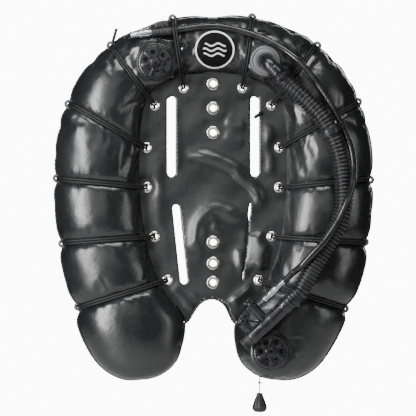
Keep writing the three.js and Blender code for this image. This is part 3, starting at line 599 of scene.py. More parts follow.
outer_line = curve_through([(x, 0, z) for x, z in OUTER], 0.5)
inner_line = curve_through([(x, 0, z) for x, z in INNER], 0.5)


def at_share(line, share):
    at = np.asarray(share) * (len(line) - 1)
    return np.stack([np.interp(at, np.arange(len(line)), line[:, k]) for k in (0, 2)], -1)


def edges_at(t):
    """Outer and inner edge points, x and z in mm, and the half depth, at t from 0 to 1 round the cell."""
    run = 1 - np.abs(2 * t - 1)
    share = np.clip(run - 0.09 * np.sin(math.pi * run), 0, 1)
    outer, inner = at_share(outer_line, share), at_share(inner_line, share)
    half = np.linalg.norm(outer - inner, axis=-1) / 2
    side = np.where(t < 0.5, -1.0, 1.0)
    for edge in (outer, inner):
        edge[:, 0] = edge[:, 0] * side + sway(edge[:, 1])
    return outer, inner, HALF_DEPTH * (1 - np.exp(-half / DEPTH_RISE))


def lace_lines():
    for side in (-1, 1):
        for k, (grommet, edge) in enumerate(LACES):
            start = np.array((side * grommet[0], grommet[1]), float)
            end = np.array((side * edge[0] + sway(np.array(edge[1])), edge[1]), float)
            yield side, k, start, end


def lace_distance(x, z, start, end):
    """Signed distance from a lace's line, and how far along it, in mm."""
    run = end - start
    long = np.linalg.norm(run)
    run = run / long
    dx, dz = x - start[0], z - start[1]
    return dx * run[1] - dz * run[0], dx * run[0] + dz * run[1], long


print("outer edge", round(len(outer_line) * 0.5), "mm, inner edge", round(len(inner_line) * 0.5), "mm a side")

# %% [markdown]
# ## The cell
# On the real wing the laces pull the tube in and the air pushes it out between them, so the cloth
# puckers along every lace. It could be sculpted, but the honest way is to let cloth do it. The mesh
# starts drawn in under each lace, its rest shape is the fuller tube it was cut as, and a few steps of
# air pressure throw the spare cloth into folds. The laces, the inner seam and the seats of the
# valves are held still. Where the air would push too far, a cap stops it.

# %% The grid of the cell
ALONG, AROUND = 420, 104
ts = np.linspace(0, 1, ALONG + 1)[1:-1]
outer_at, inner_at, depth_at = edges_at(ts)
theta = 2 * math.pi * np.arange(AROUND) / AROUND


def fittings():
    """Centre, radius and height of each flat seat, from the frame's own boxes."""
    seats = []
    for node, lip, radius in (("shoulder_dump_seat", 3.3, 35), ("elbow_flange", 4.4, 29),
                              ("hip_dump_seat", 3.3, 35), ("rear_dump_seat", 3.3, 35)):
        low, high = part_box(node)
        centre = (low + high) / 2
        face = 1 if centre.y > 0 else -1
        height = (high.y if face > 0 else -low.y) / MM - lip
        seats.append((centre.x / MM, centre.z / MM, face, radius, height))
    return seats


SEATS = fittings()


def cell_points(drawn_in, fullness):
    """The cell's grid in mm. drawn_in pulls it under the laces, and fullness scales its depth. nip
    thins the tube, in a narrow groove inside a wide one, and tuck pulls its outer edge in."""
    middle = (outer_at + inner_at) / 2
    reach = (outer_at - middle)[:, None]
    flat = middle[:, None] + reach * np.cos(theta)[None, :, None]
    x, z = flat[..., 0].copy(), flat[..., 1].copy()
    y = -depth_at[:, None] * np.sin(theta)[None] * fullness
    outward = reach / np.linalg.norm(reach, axis=2)[..., None]
    nip = np.zeros_like(x)
    tuck = np.zeros_like(x)
    for side, k, start, end in lace_lines():
        off, far, long = lace_distance(x, z, start, end)
        near = (far > -30) & (np.sign(x + 1e-9) == side)
        groove = 0.62 * np.exp(-(off / 9.0) ** 2) + 0.38 * np.exp(-(off / 30.0) ** 2)
        nip = np.maximum(nip, near * PINCH[k] * groove)
        tuck = np.maximum(tuck, near * (2.0 + 1.6 * k) * np.exp(-(off / 15.0) ** 2))
    outerness = np.clip(np.cos(theta), 0, 1)[None] ** 2
    swell = 2.0 + 1.8 * eased((x + 40) / 120)
    y *= 1 - nip * drawn_in
    for axis, values in enumerate((x, z)):
        values -= outward[..., axis] * (tuck - swell) * outerness * drawn_in
    for cx, cz, face, radius, height in SEATS:
        away = np.hypot(x - cx, z - cz)
        level = (1 - eased((away - radius * 0.9) / (radius * 0.85))) * (np.sign(y) == face)
        y = y * (1 - level) + face * (height - 1.2) * level
    return np.stack([x, y, z], -1)


def with_tips(points):
    tips = [points[k].mean(0) for k in (0, -1)]
    return np.vstack([points.reshape(-1, 3), tips])


def tube_faces(rows, sides):
    """Quads of a closed grid of rows, with a fan of triangles at each end."""
    faces = []
    tip, last = rows * sides, (rows - 1) * sides
    for j in range(sides):
        n = (j + 1) % sides
        faces += [(i * sides + j, i * sides + n, (i + 1) * sides + n, (i + 1) * sides + j)
                  for i in range(rows - 1)]
        faces += [(tip, n, j), (tip + 1, last + j, last + n)]
    return faces


start_points = with_tips(cell_points(1.0, 0.97))
rest_points = with_tips(cell_points(0.0, 1.02))
cell_faces = tube_faces(ALONG - 1, AROUND)
print("cell grid", len(start_points), "points")


# %% What holds the cloth still
def held_weights(points):
    x, y, z = points.T
    held = np.zeros(len(points))
    for side, k, start, end in lace_lines():
        off, far, long = lace_distance(x, z, start, end)
        held = np.maximum(held, (np.abs(off) < 2.6) * (far > -20) * (np.sign(x) == side))
    for cx, cz, face, radius, height in SEATS:
        held = np.maximum(held, (np.hypot(x - cx, z - cz) < radius * 1.02) * (np.sign(y) == face))
    column = np.tile(np.arange(AROUND), ALONG - 1)
    inner = np.abs(column - AROUND // 2) <= 1
    held[:len(inner)] = np.maximum(held[:len(inner)], inner)
    held[-2:] = 1
    return held


held = held_weights(start_points)
print("held points", int(held.sum()))


# %% Air pressure
def filled(points, rest, faces, held, pressure, frames):
    """The cloth's points after a few steps of pressure, in mm."""
    mesh = bpy.data.meshes.new("cell_cloth")
    mesh.from_pydata([tuple(p * MM) for p in points], [], faces)
    cloth = bpy.data.objects.new("cell_cloth", mesh)
    bpy.context.scene.collection.objects.link(cloth)
    cloth.shape_key_add(name="start")
    cut = cloth.shape_key_add(name="cut")
    cut.data.foreach_set("co", (rest * MM).ravel())
    cut.value = 0
    group = cloth.vertex_groups.new(name="held")
    group.add([int(i) for i in np.flatnonzero(held > 0.5)], 1.0, "REPLACE")
    cloth_modifier = cloth.modifiers.new("cloth", "CLOTH")
    settings = cloth_modifier.settings
    settings.quality = 6
    settings.mass = 0.25
    settings.tension_stiffness = settings.compression_stiffness = 22
    settings.shear_stiffness = 8
    settings.bending_stiffness = 0.06
    settings.shrink_min = -0.018
    settings.use_pressure = True
    settings.uniform_pressure_force = pressure
    settings.vertex_group_mass = "held"
    settings.rest_shape_key = cut
    settings.effector_weights.gravity = 0
    cloth_modifier.point_cache.frame_end = frames
    for step in range(1, frames + 1):
        bpy.context.scene.frame_set(step)
    shape = cloth.evaluated_get(bpy.context.evaluated_depsgraph_get()).to_mesh()
    out = np.empty(len(shape.vertices) * 3)
    shape.vertices.foreach_get("co", out)
    bpy.context.scene.frame_set(1)
    bpy.data.objects.remove(cloth)
    return out.reshape(-1, 3) / MM


MOST_GROWTH = 11.0
cell_shape = filled(start_points, rest_points, cell_faces, held, pressure=5.0, frames=18)
moved = cell_shape - start_points
how_far = np.linalg.norm(moved, axis=1)
scale = np.minimum(1, MOST_GROWTH / np.maximum(how_far, 1e-6))
cell_shape = start_points + moved * scale[:, None]
print("cloth moved", round(float(how_far.mean()), 2), "mm on average, at most",
      round(float(how_far.max()), 1))

# %% [markdown]
# Hoses and buttons lie close over the cell, so its final shape is kept under them: no point may
# stand more than a few millimetres over the frame's own surface. Long shallow waves are laid in last,
# for the slow unevenness of a bag that has been folded and put away many times.


# %% The finished cell
def waves(x, y, z):
    return (1.1 * np.sin(x / 31.0 + 1.3 * np.sin(z / 47.0)) * np.sin(z / 39.0 + 0.6)
            + 0.7 * np.sin((x + z) / 17.0 + y / 25.0) * np.sin((x - z) / 29.0))


def puckers(x, y, z):
    """Small hollows beside every lace, where spare cloth is gathered under it."""
    depth = np.zeros_like(x)
    for side, k, start, end in lace_lines():
        off, far, long = lace_distance(x, z, start, end)
        near = np.sign(x) == side
        random = np.random.default_rng(40 + 7 * k + (side > 0))
        far_at = 22 + 9 * random.random()
        while far_at < long - 4:
            for face in (-1, 1):
                for half in (-1, 1):
                    wide = 3.4 + 3.4 * random.random()
                    deep = (0.5 + 2.9 * random.random() ** 1.5) * (0.55 if k < 2 else 0.9)
                    reach = 9 + 13 * random.random()
                    lean = far_at + 0.25 * (random.random() - 0.5) * off
                    across = np.exp(-((far - lean) / wide) ** 2)
                    along = np.clip(np.abs(off) / 5.0, 0, 1) * np.exp(-(off / reach) ** 2)
                    where = near * (np.sign(off) == half) * (np.sign(y) == face)
                    depth = depth + where * across * along * deep
            far_at += 11 + 15 * random.random()
    return depth


plain = with_tips(cell_points(0.0, 1.0))
limit = np.abs(plain[:, 1]) + 4.0
free = 1 - held
off_seam = np.clip(np.abs(cell_shape[:, 1]) / 30, 0, 1)
cell_shape[:, 1] += np.sign(cell_shape[:, 1]) * waves(*cell_shape.T) * free * off_seam
middle_line = cell_shape[:-2].reshape(ALONG - 1, AROUND, 3).mean(1)
inwards = np.repeat(middle_line, AROUND, 0) - cell_shape[:-2]
inwards /= np.linalg.norm(inwards, axis=1)[:, None]
gathered = (puckers(*cell_shape[:-2].T) * free[:-2])[:, None]
cell_shape[:-2] += inwards * gathered
cell_shape[:, 1] = np.clip(cell_shape[:, 1], -limit, limit)
cell = piece("air_cell", cell_shape * MM, cell_faces, "wing", "cover_fabric", cover_cloth, crease=180,
             hides=("front_cover", "back_cover"))
cell.modifiers.new("smooth", "SUBSURF").levels = 1
cell.modifiers["smooth"].render_levels = 1
cell_tree = BVHTree.FromPolygons([tuple(p) for p in cell_shape], cell_faces)


def surface_y(x, z, face=-1, fallback=0.0):
    """Where the cell's skin is, in mm, on the front (-1) or the back (1)."""
    hit = cell_tree.ray_cast(Vector((x, face * 300.0, z)), Vector((0, -face, 0)))[0]
    return hit.y if hit is not None else fallback


print("cell depth at the bend", round(-surface_y(0, 256), 1), "mm")
BLADDER_GAP = 4.5
inner_rows = cell_shape[:-2].reshape(ALONG - 1, AROUND, 3)[5:-5:3, ::2]
spine = inner_rows.mean(1, keepdims=True)
spokes = inner_rows - spine
reach_of = np.linalg.norm(spokes, axis=2, keepdims=True)
inner_rows = spine + spokes * (1 - BLADDER_GAP / np.maximum(reach_of, 2 * BLADDER_GAP))
piece("inner_bladder", with_tips(inner_rows) * MM, tube_faces(*inner_rows.shape[:2]), "wing", "bladder",
      bladder_film, crease=180, hides=("air_bladder",))

# %% [markdown]
# ## Centre panel
# The panel is two layers of the same cloth, flat between the lobes, with long slots for cylinder
# straps. It is cut as a flat triangle mesh with real holes and given its thickness by Solidify.
# A bolted wing hangs from this panel, so it carries a few strong creases that run from the lowest lace
# to the notch and across the middle. Each is a ridge along a line, added to the height of the points.

# %% Cutting flat shapes with holes
SLOTS = [((75, 153.5), (75, 23.5), 15.0), ((66.6, -40), (52.6, -171), 12.5)]
BOLTS = [183.7, 139.7, 95.7, -101.7, -139.7, -174.2]
LACE_HOLE, BOLT_HOLE, PANEL_THICKNESS = 6.5, 7.3, 3
# The lower right slot's two ends, and its width at even steps from the top one to the bottom one.
SAGGED_SLOT = (67, -32), (53.5, -168), (1.6, 4.0, 0.6) + (0.5,) * 7


def ring_points(cx, cz, radius, count):
    return [(cx + radius * math.cos(a), cz + radius * math.sin(a))
            for a in np.linspace(0, 2 * math.pi, count, endpoint=False)]


def slot_points(start, end, width, count=10):
    start, end = Vector(start), Vector(end)
    axis = math.atan2(end.y - start.y, end.x - start.x)
    out = []
    for centre, first in ((start, axis + math.pi / 2), (end, axis - math.pi / 2)):
        for k in range(count + 1):
            a = first + math.pi * k / count
            out.append((centre.x + width / 2 * math.cos(a), centre.y + width / 2 * math.sin(a)))
    return out


def slit_points(start, end, widths):
    """A slot whose cloth lips have sagged together: its width at even steps from start to end."""
    start, end = np.array(start, float), np.array(end, float)
    run = (end - start) / np.linalg.norm(end - start)
    aside = np.array((-run[1], run[0]))
    share = np.linspace(0, 1, 40)
    half = np.interp(share, np.linspace(0, 1, len(widths)), widths) / 2
    spine = start + (end - start) * share[:, None]
    one, other = spine + aside * half[:, None], spine - aside * half[:, None]
    return [tuple(q) for q in np.vstack([one, other[::-1]])]


def inside(polygon, x, z):
    px, pz = np.array(polygon).T
    qx, qz = np.roll(px, -1), np.roll(pz, -1)
    x, z = np.asarray(x)[..., None], np.asarray(z)[..., None]
    crosses = ((pz > z) != (qz > z)) & (x < (qx - px) * (z - pz) / (qz - pz + 1e-12) + px)
    return crosses.sum(-1) % 2 == 1


def cut_cloth(outline, holes, spacing):
    """A flat triangle mesh inside the outline and outside the holes, in mm."""
    loops = [outline, *holes]
    points, edges = [], []
    for loop in loops:
        start = len(points)
        points += loop
        edges += [(start + k, start + (k + 1) % len(loop)) for k in range(len(loop))]
    px, pz = np.array(outline).T
    gx, gz = np.meshgrid(np.arange(px.min(), px.max(), spacing), np.arange(pz.min(), pz.max(), spacing * 0.87))
    gx = gx + (np.arange(gx.shape[0]) % 2)[:, None] * spacing / 2
    grid = np.stack([gx.ravel(), gz.ravel()], 1)
    keep = inside(outline, *grid.T)
    for hole in holes:
        keep &= ~inside(hole, *grid.T)
    border = np.array(points)
    grid = grid[keep]
    apart = np.array([np.hypot(*(border - g).T).min() for g in grid]) if len(grid) else np.array([])
    grid = grid[apart > spacing * 0.55] if len(grid) else grid
    every = [Vector(p) for p in points] + [Vector(p) for p in grid]
    found, _, faces, *_ = geometry.delaunay_2d_cdt(every, edges, [], 0, 1e-5)
    flat = np.array([tuple(p) for p in found])
    kept = []
    for face in faces:
        cx, cz = flat[list(face)].mean(0)
        if inside(outline, cx, cz) and not any(inside(hole, cx, cz) for hole in holes):
            kept.append(face)
    return flat, kept


def even_loop(points, spacing):
    closed_up = np.vstack([points, points[:1]])
    return [tuple(p) for p in respaced(np.array(closed_up, float), spacing)[:-1]]


# %% The panel's outline and creases
notch_line = curve_through([(x, 0, z) for x, z in NOTCH], 3.0)[:, [0, 2]]
inner_half = inner_line[:, [0, 2]][inner_line[:, 2] > PANEL_START]
inner_half = inner_half[::8]
inner_half = inner_half[inner_half[:, 0] > 4]
TUCK_UNDER = 4.0
right_side = [(x + TUCK_UNDER * (z > -215), z) for x, z in inner_half]
right_half = [tuple(p) for p in notch_line[::-1]][1:] + right_side
panel_outline = [(0, -200.5)] + [(x + sway(z), z) for x, z in right_half]
panel_outline += [(0, 210)] + [(-x + sway(z), z) for x, z in reversed(right_half)]
panel_outline = [(float(x), float(z)) for x, z in panel_outline]
panel_holes = []
for side in (-1, 1):
    for start, end, width in SLOTS:
        if side == 1 and (start, end, width) == SLOTS[1]:
            panel_holes.append(slit_points(*SAGGED_SLOT))
        else:
            ends = (side * start[0], start[1]), (side * end[0], end[1])
            panel_holes.append(even_loop(slot_points(*ends, width), 3.0))
    for (gx, gz), _ in LACES:
        panel_holes.append(ring_points(side * gx, gz, LACE_HOLE, 20))
panel_holes += [ring_points(0, z, BOLT_HOLE, 24) for z in BOLTS]

# Each crease: its line, its height towards the front, and its half width on its two sides, in mm.
CREASES = [
    ([(-58, 52), (-30, 55), (-9, 52), (16, 43), (39, 30), (52, 15), (71, 0), (83, -22), (79, -50)], 7.0, 8, 9),
    ([(-32, -126), (-30, -95), (-26, -68), (-12, -50), (2, -41), (30, -50), (58, -62)], 8.0, 11, 12),
    ([(96, -78), (95, -100), (91, -130), (85, -160)], 11.0, 30, 6),
    ([(80, -160), (70, -178), (52, -194), (26, -214)], 5.0, 5, 9),
    ([(84, -150), (72, -160), (66, -172)], -3.0, 6, 6),
    ([(2, -48), (3, -70), (6, -90)], 2.6, 6, 10),
    ([(46, -110), (50, -140), (62, -166)], 3.0, 8, 8),
    ([(-70, 158), (-66, 90), (-62, 20)], 2.2, 5, 9),
    ([(20, 120), (40, 108), (60, 110)], 2.6, 8, 12),
    ([(18, 96), (38, 80), (58, 76)], 2.2, 7, 10),
    ([(66, -52), (60, -100), (54, -166)], -2.4, 3, 3),
    ([(-82, -170), (-58, -198), (-34, -226)], 3.0, 6, 6),
    ([(-76, -172), (-50, -184), (-22, -203)], 2.0, 5, 5),
    ([(-100, 60), (-97, -30), (-92, -120)], 2.5, 12, 12),
    ([(98, 120), (104, 60), (103, 10)], 3.4, 9, 9),
]


def crease_height(x, z, line, high, left, right):
    """A rounded ridge along a line, which fades out at the line's two ends."""
    path = curve_through([(a, 0, b) for a, b in line], 4.0)[:, [0, 2]]
    ahead = np.gradient(path, axis=0)
    gaps = np.hypot(x[:, None] - path[:, 0], z[:, None] - path[:, 1])
    nearest_at = gaps.argmin(1)
    away = np.stack([x, z], 1) - path[nearest_at]
    side = ahead[nearest_at, 0] * away[:, 1] - ahead[nearest_at, 1] * away[:, 0]
    wide = np.where(side < 0, left, right)
    share = nearest_at / (len(path) - 1)
    ends = eased(share / 0.22) * eased((1 - share) / 0.22)
    return high * ends * np.exp(-((gaps.min(1) / wide) ** 1.7))


def panel_relief(x, z):
    height = 0.8 * np.sin(x / 23 + 1.1 * np.sin(z / 33)) * np.sin(z / 41 + 1) + 0.4 * np.sin((x - z) / 13)
    for line, high, left, right in CREASES:
        height = height + crease_height(x, z, line, high, left, right)
    for cx, cz in [(0, z0) for z0 in BOLTS] + [(s * g[0], g[1]) for s in (-1, 1) for g, _ in LACES]:
        height = height * eased((np.hypot(x - cx, z - cz) - 12.0) / 14.0)
    return height


# %% The panel
panel_flat, panel_faces = cut_cloth(even_loop(panel_outline, 4.0), panel_holes, 4.0)
px, pz = panel_flat.T
panel_points = np.stack([px, -panel_relief(px, pz), pz], 1) * MM
panel = piece("back_panel", panel_points, panel_faces, "wing", "panel_fabric", panel_cloth, crease=180,
              hides=("centre_panel",))
thickness = panel.modifiers.new("thickness", "SOLIDIFY")
thickness.thickness, thickness.offset = PANEL_THICKNESS * MM, 0
triangle = panel_flat[np.array(panel_faces)]
first, second = triangle[:, 1] - triangle[:, 0], triangle[:, 2] - triangle[:, 0]
panel_area = float(np.abs(first[:, 0] * second[:, 1] - first[:, 1] * second[:, 0]).sum() / 2) * MM * MM

# %% [markdown]
# ## Grommets
# A grommet is two pressed rings, riveted through the cloth. The visible one has a rolled lip, and its
# dished shape gives the bright crescent. One turned profile, in two sizes, serves all eighteen.


# %% Grommets
def grommet(hole, flange):
    front = [(hole, 0), (hole, 1.4), (hole + 0.7, 2.6), (hole + 2.0, 3.05), (flange - 1.4, 2.75), (flange, 2.0),
             (flange, 1.75)]
    back = [(r, -h) for r, h in reversed(front)]
    return turned(rounded(front + back[:-1] + [(hole, -0.001)], 0.35, 2), 40)


FACE_FRONT = Matrix.Rotation(math.pi / 2, 4, "X")
BOLT_RING, LACE_RING = (5.5, 11.5), (5.1, 9.3)
for index, z in enumerate(BOLTS, 1):
    ring = placed(grommet(*BOLT_RING), Matrix.Translation((0, 0, z * MM)) @ FACE_FRONT)
    piece(f"bolt_ring_{index}", *ring, "wing", "grommet_metal", nickel, hides=(f"bolt_grommet_{index}",))
for side, word in ((-1, "left"), (1, "right")):
    for index, ((gx, gz), _) in enumerate(LACES, 1):
        ring = placed(grommet(*LACE_RING), Matrix.Translation((side * gx * MM, 0, gz * MM)) @ FACE_FRONT)
        piece(f"lace_ring_{word}_{index}", *ring, "wing", "grommet_metal", nickel,
              hides=(f"lace_grommet_{word}_{index}",))
print("18 grommets")

# %% [markdown]
# ## Laces
# Rubber cord in a braided sheath goes round the tube and back through the same grommet, two strands
# side by side. A cord under tension takes the shortest way round, so its path is the tightest band
# round the cell's real section, found with a convex hull and then set off by half a cord.


# %% The tightest band
def hull(points):
    points = sorted(set((round(float(a), 4), round(float(b), 4)) for a, b in points))

    def half(some):
        out = []
        for p in some:
            while len(out) > 1 and ((out[-1][0] - out[-2][0]) * (p[1] - out[-2][1])
                                    - (out[-1][1] - out[-2][1]) * (p[0] - out[-2][0])) <= 0:
                out.pop()
            out.append(p)
        return out[:-1]

    return half(points) + half(points[::-1])


LACE = 2.15
air_hose_over = []


def lace_band(start, end, offset):
    """A closed path round the cell in a lace's plane, moved sideways by offset, in mm."""
    run = (end - start) / np.linalg.norm(end - start)
    aside = np.array((run[1], -run[0])) * offset
    around = [(-1.0, 0.0), (-1.0, 2.0), (-1.0, -2.0)]
    far = 2.0
    reach = np.linalg.norm(end - start) + 16
    while far < reach:
        x, z = start + run * far + aside
        for face in (-1, 1):
            y = surface_y(x, z, face, None)
            if y is not None:
                around += ring_points(far, y, LACE + 0.1, 8)
        far += 2.0
    for x, y, z, radius in air_hose_over:
        off, along, _ = lace_distance(x, z, start, end)
        if abs(off) < 7:
            around += ring_points(along, y, radius + LACE + 0.4, 12)
    band = np.array(hull(around))
    band = respaced(np.vstack([band, band[:1]]), 2.5)[:-1]
    for _ in range(2):
        band = (np.roll(band, 1, 0) + 2 * band + np.roll(band, -1, 0)) / 4
    return np.stack([start[0] + run[0] * band[:, 0] + aside[0], band[:, 1],
                     start[1] + run[1] * band[:, 0] + aside[1]], 1)


# %% [markdown]
# ## Routes of the hoses
# The two hoses and the two pull cords follow the same lists of points as the frame's solids. The
# corrugated hose leaves the elbow, hangs down the right lobe and ends on the inflator. The air hose
# comes over the bend from its metal end and runs down beside it.

# %% Routes
seat_of = dict(zip(("shoulder", "elbow", "hip", "rear"), SEATS))
elbow_height = seat_of["elbow"][4]
elbow_base = Vector((94.0, -(elbow_height + 4.8), 224.0))
OUTWARDS = Vector((0, -1, 0))
elbow_run = Vector((0.69, 0, -0.724)).normalized()
ELBOW_BEND, ELBOW_REACH = 17.0, 20.0
bend_centre = elbow_base + OUTWARDS * 1.5 + elbow_run * ELBOW_BEND
elbow_path = [elbow_base.copy()]
for step in range(6):
    angle = math.pi * step / 10
    elbow_path.append(bend_centre - elbow_run * ELBOW_BEND * math.cos(angle)
                      + OUTWARDS * ELBOW_BEND * math.sin(angle))
elbow_end = elbow_path[-1] + elbow_run * ELBOW_REACH
elbow_path.append(elbow_end)
hose_start = elbow_end + elbow_run * 0.3
inflator_axis = Vector((-0.725, 0, -0.689)).normalized()
up_left = Vector((-0.689, 0, 0.725)).normalized()
hose_end = Vector((138.5, -85.5, -206.5))
INLET_AXIS, COUPLER_FROM = 33.5, -15.6

HOSE_ROUTE = [tuple(hose_start + elbow_run * reach) for reach in (0, 8, 15)]
HOSE_ROUTE += [(148, -76.5, 170), (165, -80, 154.5), (188, -82, 131), (201, -82.5, 113.5),
               (211, -82.5, 97), (221, -82, 74), (229, -81, 45), (233, -80, 15), (235, -80, -15),
               (232, -80.5, -45), (224, -81.5, -72), (211, -82.5, -96), (198, -83, -116),
               (187, -83.5, -134), (174, -84.5, -157), (163, -85.3, -176.5)]
HOSE_ROUTE += [tuple(hose_end - inflator_axis * reach) for reach in (24, 16, 8, 0)]
AIR_HOSE_ROUTE = [(-110, -45.5, 274.4), (-91, -45.8, 276.3), (-72, -46, 278.2), (-47, -45, 282.5),
                  (-21, -44, 285.5), (11, -44, 286), (36, -45, 281.5), (60, -47, 275), (85, -50, 266.5),
                  (105, -54, 257),
                  (128, -58, 243.5), (151, -64.5, 226), (172, -67, 203), (190, -68, 179), (208, -71, 151),
                  (224, -74, 121), (237, -75.5, 93), (247, -79.5, 67), (251.5, -88, 36), (249.5, -98, 2),
                  (240, -105, -27), (224, -107, -61), (202, -107.5, -95), (181, -106, -119), (158, -99, -143)]
AIR_HOSE_ROUTE += [tuple(hose_end + inflator_axis * (COUPLER_FROM - 0.3 - reach) + up_left * INLET_AXIS)
                   for reach in (24, 16, 8, 0)]


def length_of(path):
    return float(np.linalg.norm(np.diff(path, axis=0), axis=1).sum())


hose_path = curve_through(HOSE_ROUTE, 0.8)
air_hose_path = curve_through(AIR_HOSE_ROUTE, 2.5)
print("corrugated hose", round(length_of(hose_path)), "mm, air hose", round(length_of(air_hose_path)), "mm")

# %% [markdown]
# ## Corrugated hose
# The hose is blown rubber with a rib every seven millimetres, so that it bends without closing. The
# ribs could be a bump, but their outline shows against the cloth, so they are real: the radius of a
# swept tube rises and falls along it. The two ends are smooth cuffs under their clamps.

# %% Corrugated hose
RIB_PITCH, RIB_TOP, RIB_ROOT = 6.9, 16.6, 13.6
CUFF, CUFF_RADIUS, HOSE_BORE = 13.0, 15.4, 12.9
hose_far = np.arange(len(hose_path)) * length_of(hose_path) / (len(hose_path) - 1)
wave = (0.5 + 0.5 * np.cos(2 * math.pi * hose_far / RIB_PITCH)) ** 0.75
hose_length = hose_far[-1]
ribbed = eased((hose_far - CUFF) / 3) * eased((hose_length - CUFF * 0.7 - hose_far) / 3)
hose_radii = (RIB_ROOT + (RIB_TOP - RIB_ROOT) * wave) * ribbed + CUFF_RADIUS * (1 - ribbed)
points, faces, lay = swept(hose_path * MM, hose_radii * MM, 30, bore=HOSE_BORE * MM)
hose = piece("ribbed_hose", points, faces, "wing", "hose_rubber", hose_rubber, crease=80, lay=lay,
             hides=("corrugated_hose",))
tuple(Vector(hose_path[0]) * MM)
[tuple(p * MM) for p in hose_path[::6]]
print("ribs", int(hose_length / RIB_PITCH))

# %% [markdown]
# ## Air hose
# The thin hose carries gas from the first stage to the inflator. It is smooth rubber over braid, and
# its gloss line is one of the brightest things on the wing. Its far end is a metal fitting with a
# fluted grip, and a rubber sleeve covers the hose next to it.

# %% Air hose, sleeve and fitting
AIR_HOSE, SLEEVE = 5.75, 7.4
points, faces, lay = swept(air_hose_path[::-1] * MM, AIR_HOSE * MM, 24)
air_hose = piece("thin_hose", points, faces, "wing", "hose_rubber", air_hose_rubber, crease=60, lay=lay,
                 hides=("air_hose",))
top_run = (Vector(AIR_HOSE_ROUTE[2]) - Vector(AIR_HOSE_ROUTE[0])).normalized()
hose_top = Vector(AIR_HOSE_ROUTE[0])
along_top = upright(hose_top * MM, top_run)
sleeve_profile = [(6.0, 1), (6.6, 0.6), (SLEEVE, 1.4), (SLEEVE, 8), (7.0, 9), (SLEEVE, 10), (SLEEVE, 14),
                  (7.0, 15), (SLEEVE, 16), (SLEEVE, 31), (6.9, 35), (6.2, 37), (6.0, 37)]
piece("end_sleeve", *placed(turned(rounded(sleeve_profile, 0.4), 36), along_top), "wing", "seal_rubber",
      seal_rubber, hides=("hose_sleeve",))
end_profile = [(0, 0.5), (6, 0.5), (6, 2.8), (7.8, 3.8), (7.8, 13), (6.5, 14), (6.5, 22.6), (5, 23.6), (5, 28),
               (5.6, 29), (5.1, 30), (5.9, 31), (5.4, 32), (6.2, 33), (5.7, 34), (6.4, 35), (5.9, 37.6),
               (5, 39), (0, 39)]
grip = turned(rounded(end_profile, 0.35), 72, 24, 0.55, lambda r, h: r > 6.9 and 4.5 < h < 12.5)
fitting = piece("hose_end_fitting", *placed(grip, upright(hose_top * MM, -top_run)), "wing", "chrome", chrome,
                hides=("first_stage_fitting",))
tuple(Vector(air_hose_path[-1]) * MM)
round(length_of(air_hose_path) * MM, 3)
[tuple(p * MM) for p in air_hose_path[::-2]]
for x, y, z in air_hose_path[:60]:
    if abs(x) < 95:
        air_hose_over.append((x, y, z, SLEEVE if x < -70 else AIR_HOSE))
print("air hose passes under the top laces at", len(air_hose_over), "points")


# %% Tying the laces round the cell
def behind_run(one, two):
    """The cord's way behind the panel, from one grommet to the next."""
    sag = np.array((0, 2.4, 0))
    middle = (one + two) / 2 + sag
    return curve_through([one, (one + middle) / 2 + sag / 2, middle, (two + middle) / 2 + sag / 2, two], 3.0)


for side, word in ((-1, "left"), (1, "right")):
    parts, lays, behind = [], [], []
    for line_side, index, start, end in lace_lines():
        if line_side != side:
            continue
        for offset in (-2.2, 2.2):
            band = lace_band(start, end, offset)
            points, faces, lay = swept(band * MM, LACE * MM, 12, loop=True)
            parts.append((points, faces))
            lays.append(lay)
        behind.append(np.array((start[0], 5.6, start[1])))
    for one, two in zip(behind, behind[1:]):
        points, faces, lay = swept(behind_run(one, two) * MM, LACE * MM, 12)
        parts.append((points, faces))
        lays.append(lay)
    points, faces = joined(*parts)
    piece(f"lace_{word}", points, faces, "wing", "bungee", lace_braid, crease=180, lay=np.vstack(lays),
          hides=(f"bungee_{word}",))
    print("lace", word, len(parts), "runs")

# %% [markdown]
# Outside each turn the real wing has a small loop of flecked cord, sewn into the seam, that keeps the
# lace from sliding along the edge. Each is a short arch with its feet in the piping.


# %% Small loops at the edge
LOOP_CORD, LOOP_RISE, LOOP_HALF_WIDTH = 3.0, 9.5, 6.0


def edge_loop(start, end, lean):
    run = (end - start) / np.linalg.norm(end - start)
    edge = None
    for far in np.arange(np.linalg.norm(end - start) + 12, 40, -0.5):
        x, z = start + run * far
        if surface_y(x, z, -1, None) is not None:
            edge = start + run * far
            break
    across = np.array((run[1], -run[0]))
    arch = []
    for a in np.linspace(0, math.pi, 13):
        flat = edge + run * (LOOP_RISE * math.sin(a) - 2.0) + across * (LOOP_HALF_WIDTH * math.cos(a) + lean)
        arch.append((flat[0], -3.0 - 2.0 * math.sin(a), flat[1]))
    return np.array(arch)


for side, word in ((-1, "left"), (1, "right")):
    for line_side, index, start, end in lace_lines():
        if line_side == side:
            arch = edge_loop(start, end, 1.5 if index % 2 else -1.5)
            points, faces, lay = swept(curve_through(arch, 0.8) * MM, LOOP_CORD * MM, 10)
            piece(f"edge_loop_{word}_{index + 1}", points, faces, "wing", "bungee", loop_braid, crease=180,
                  lay=lay)
print("12 edge loops")

# %% [markdown]
# ## Piping
# The seam is bound in tape round a thin core. It follows the finished cell, not the drawing, so its
# path is read back from the cell's own outermost and innermost rows, and then runs on round the notch.

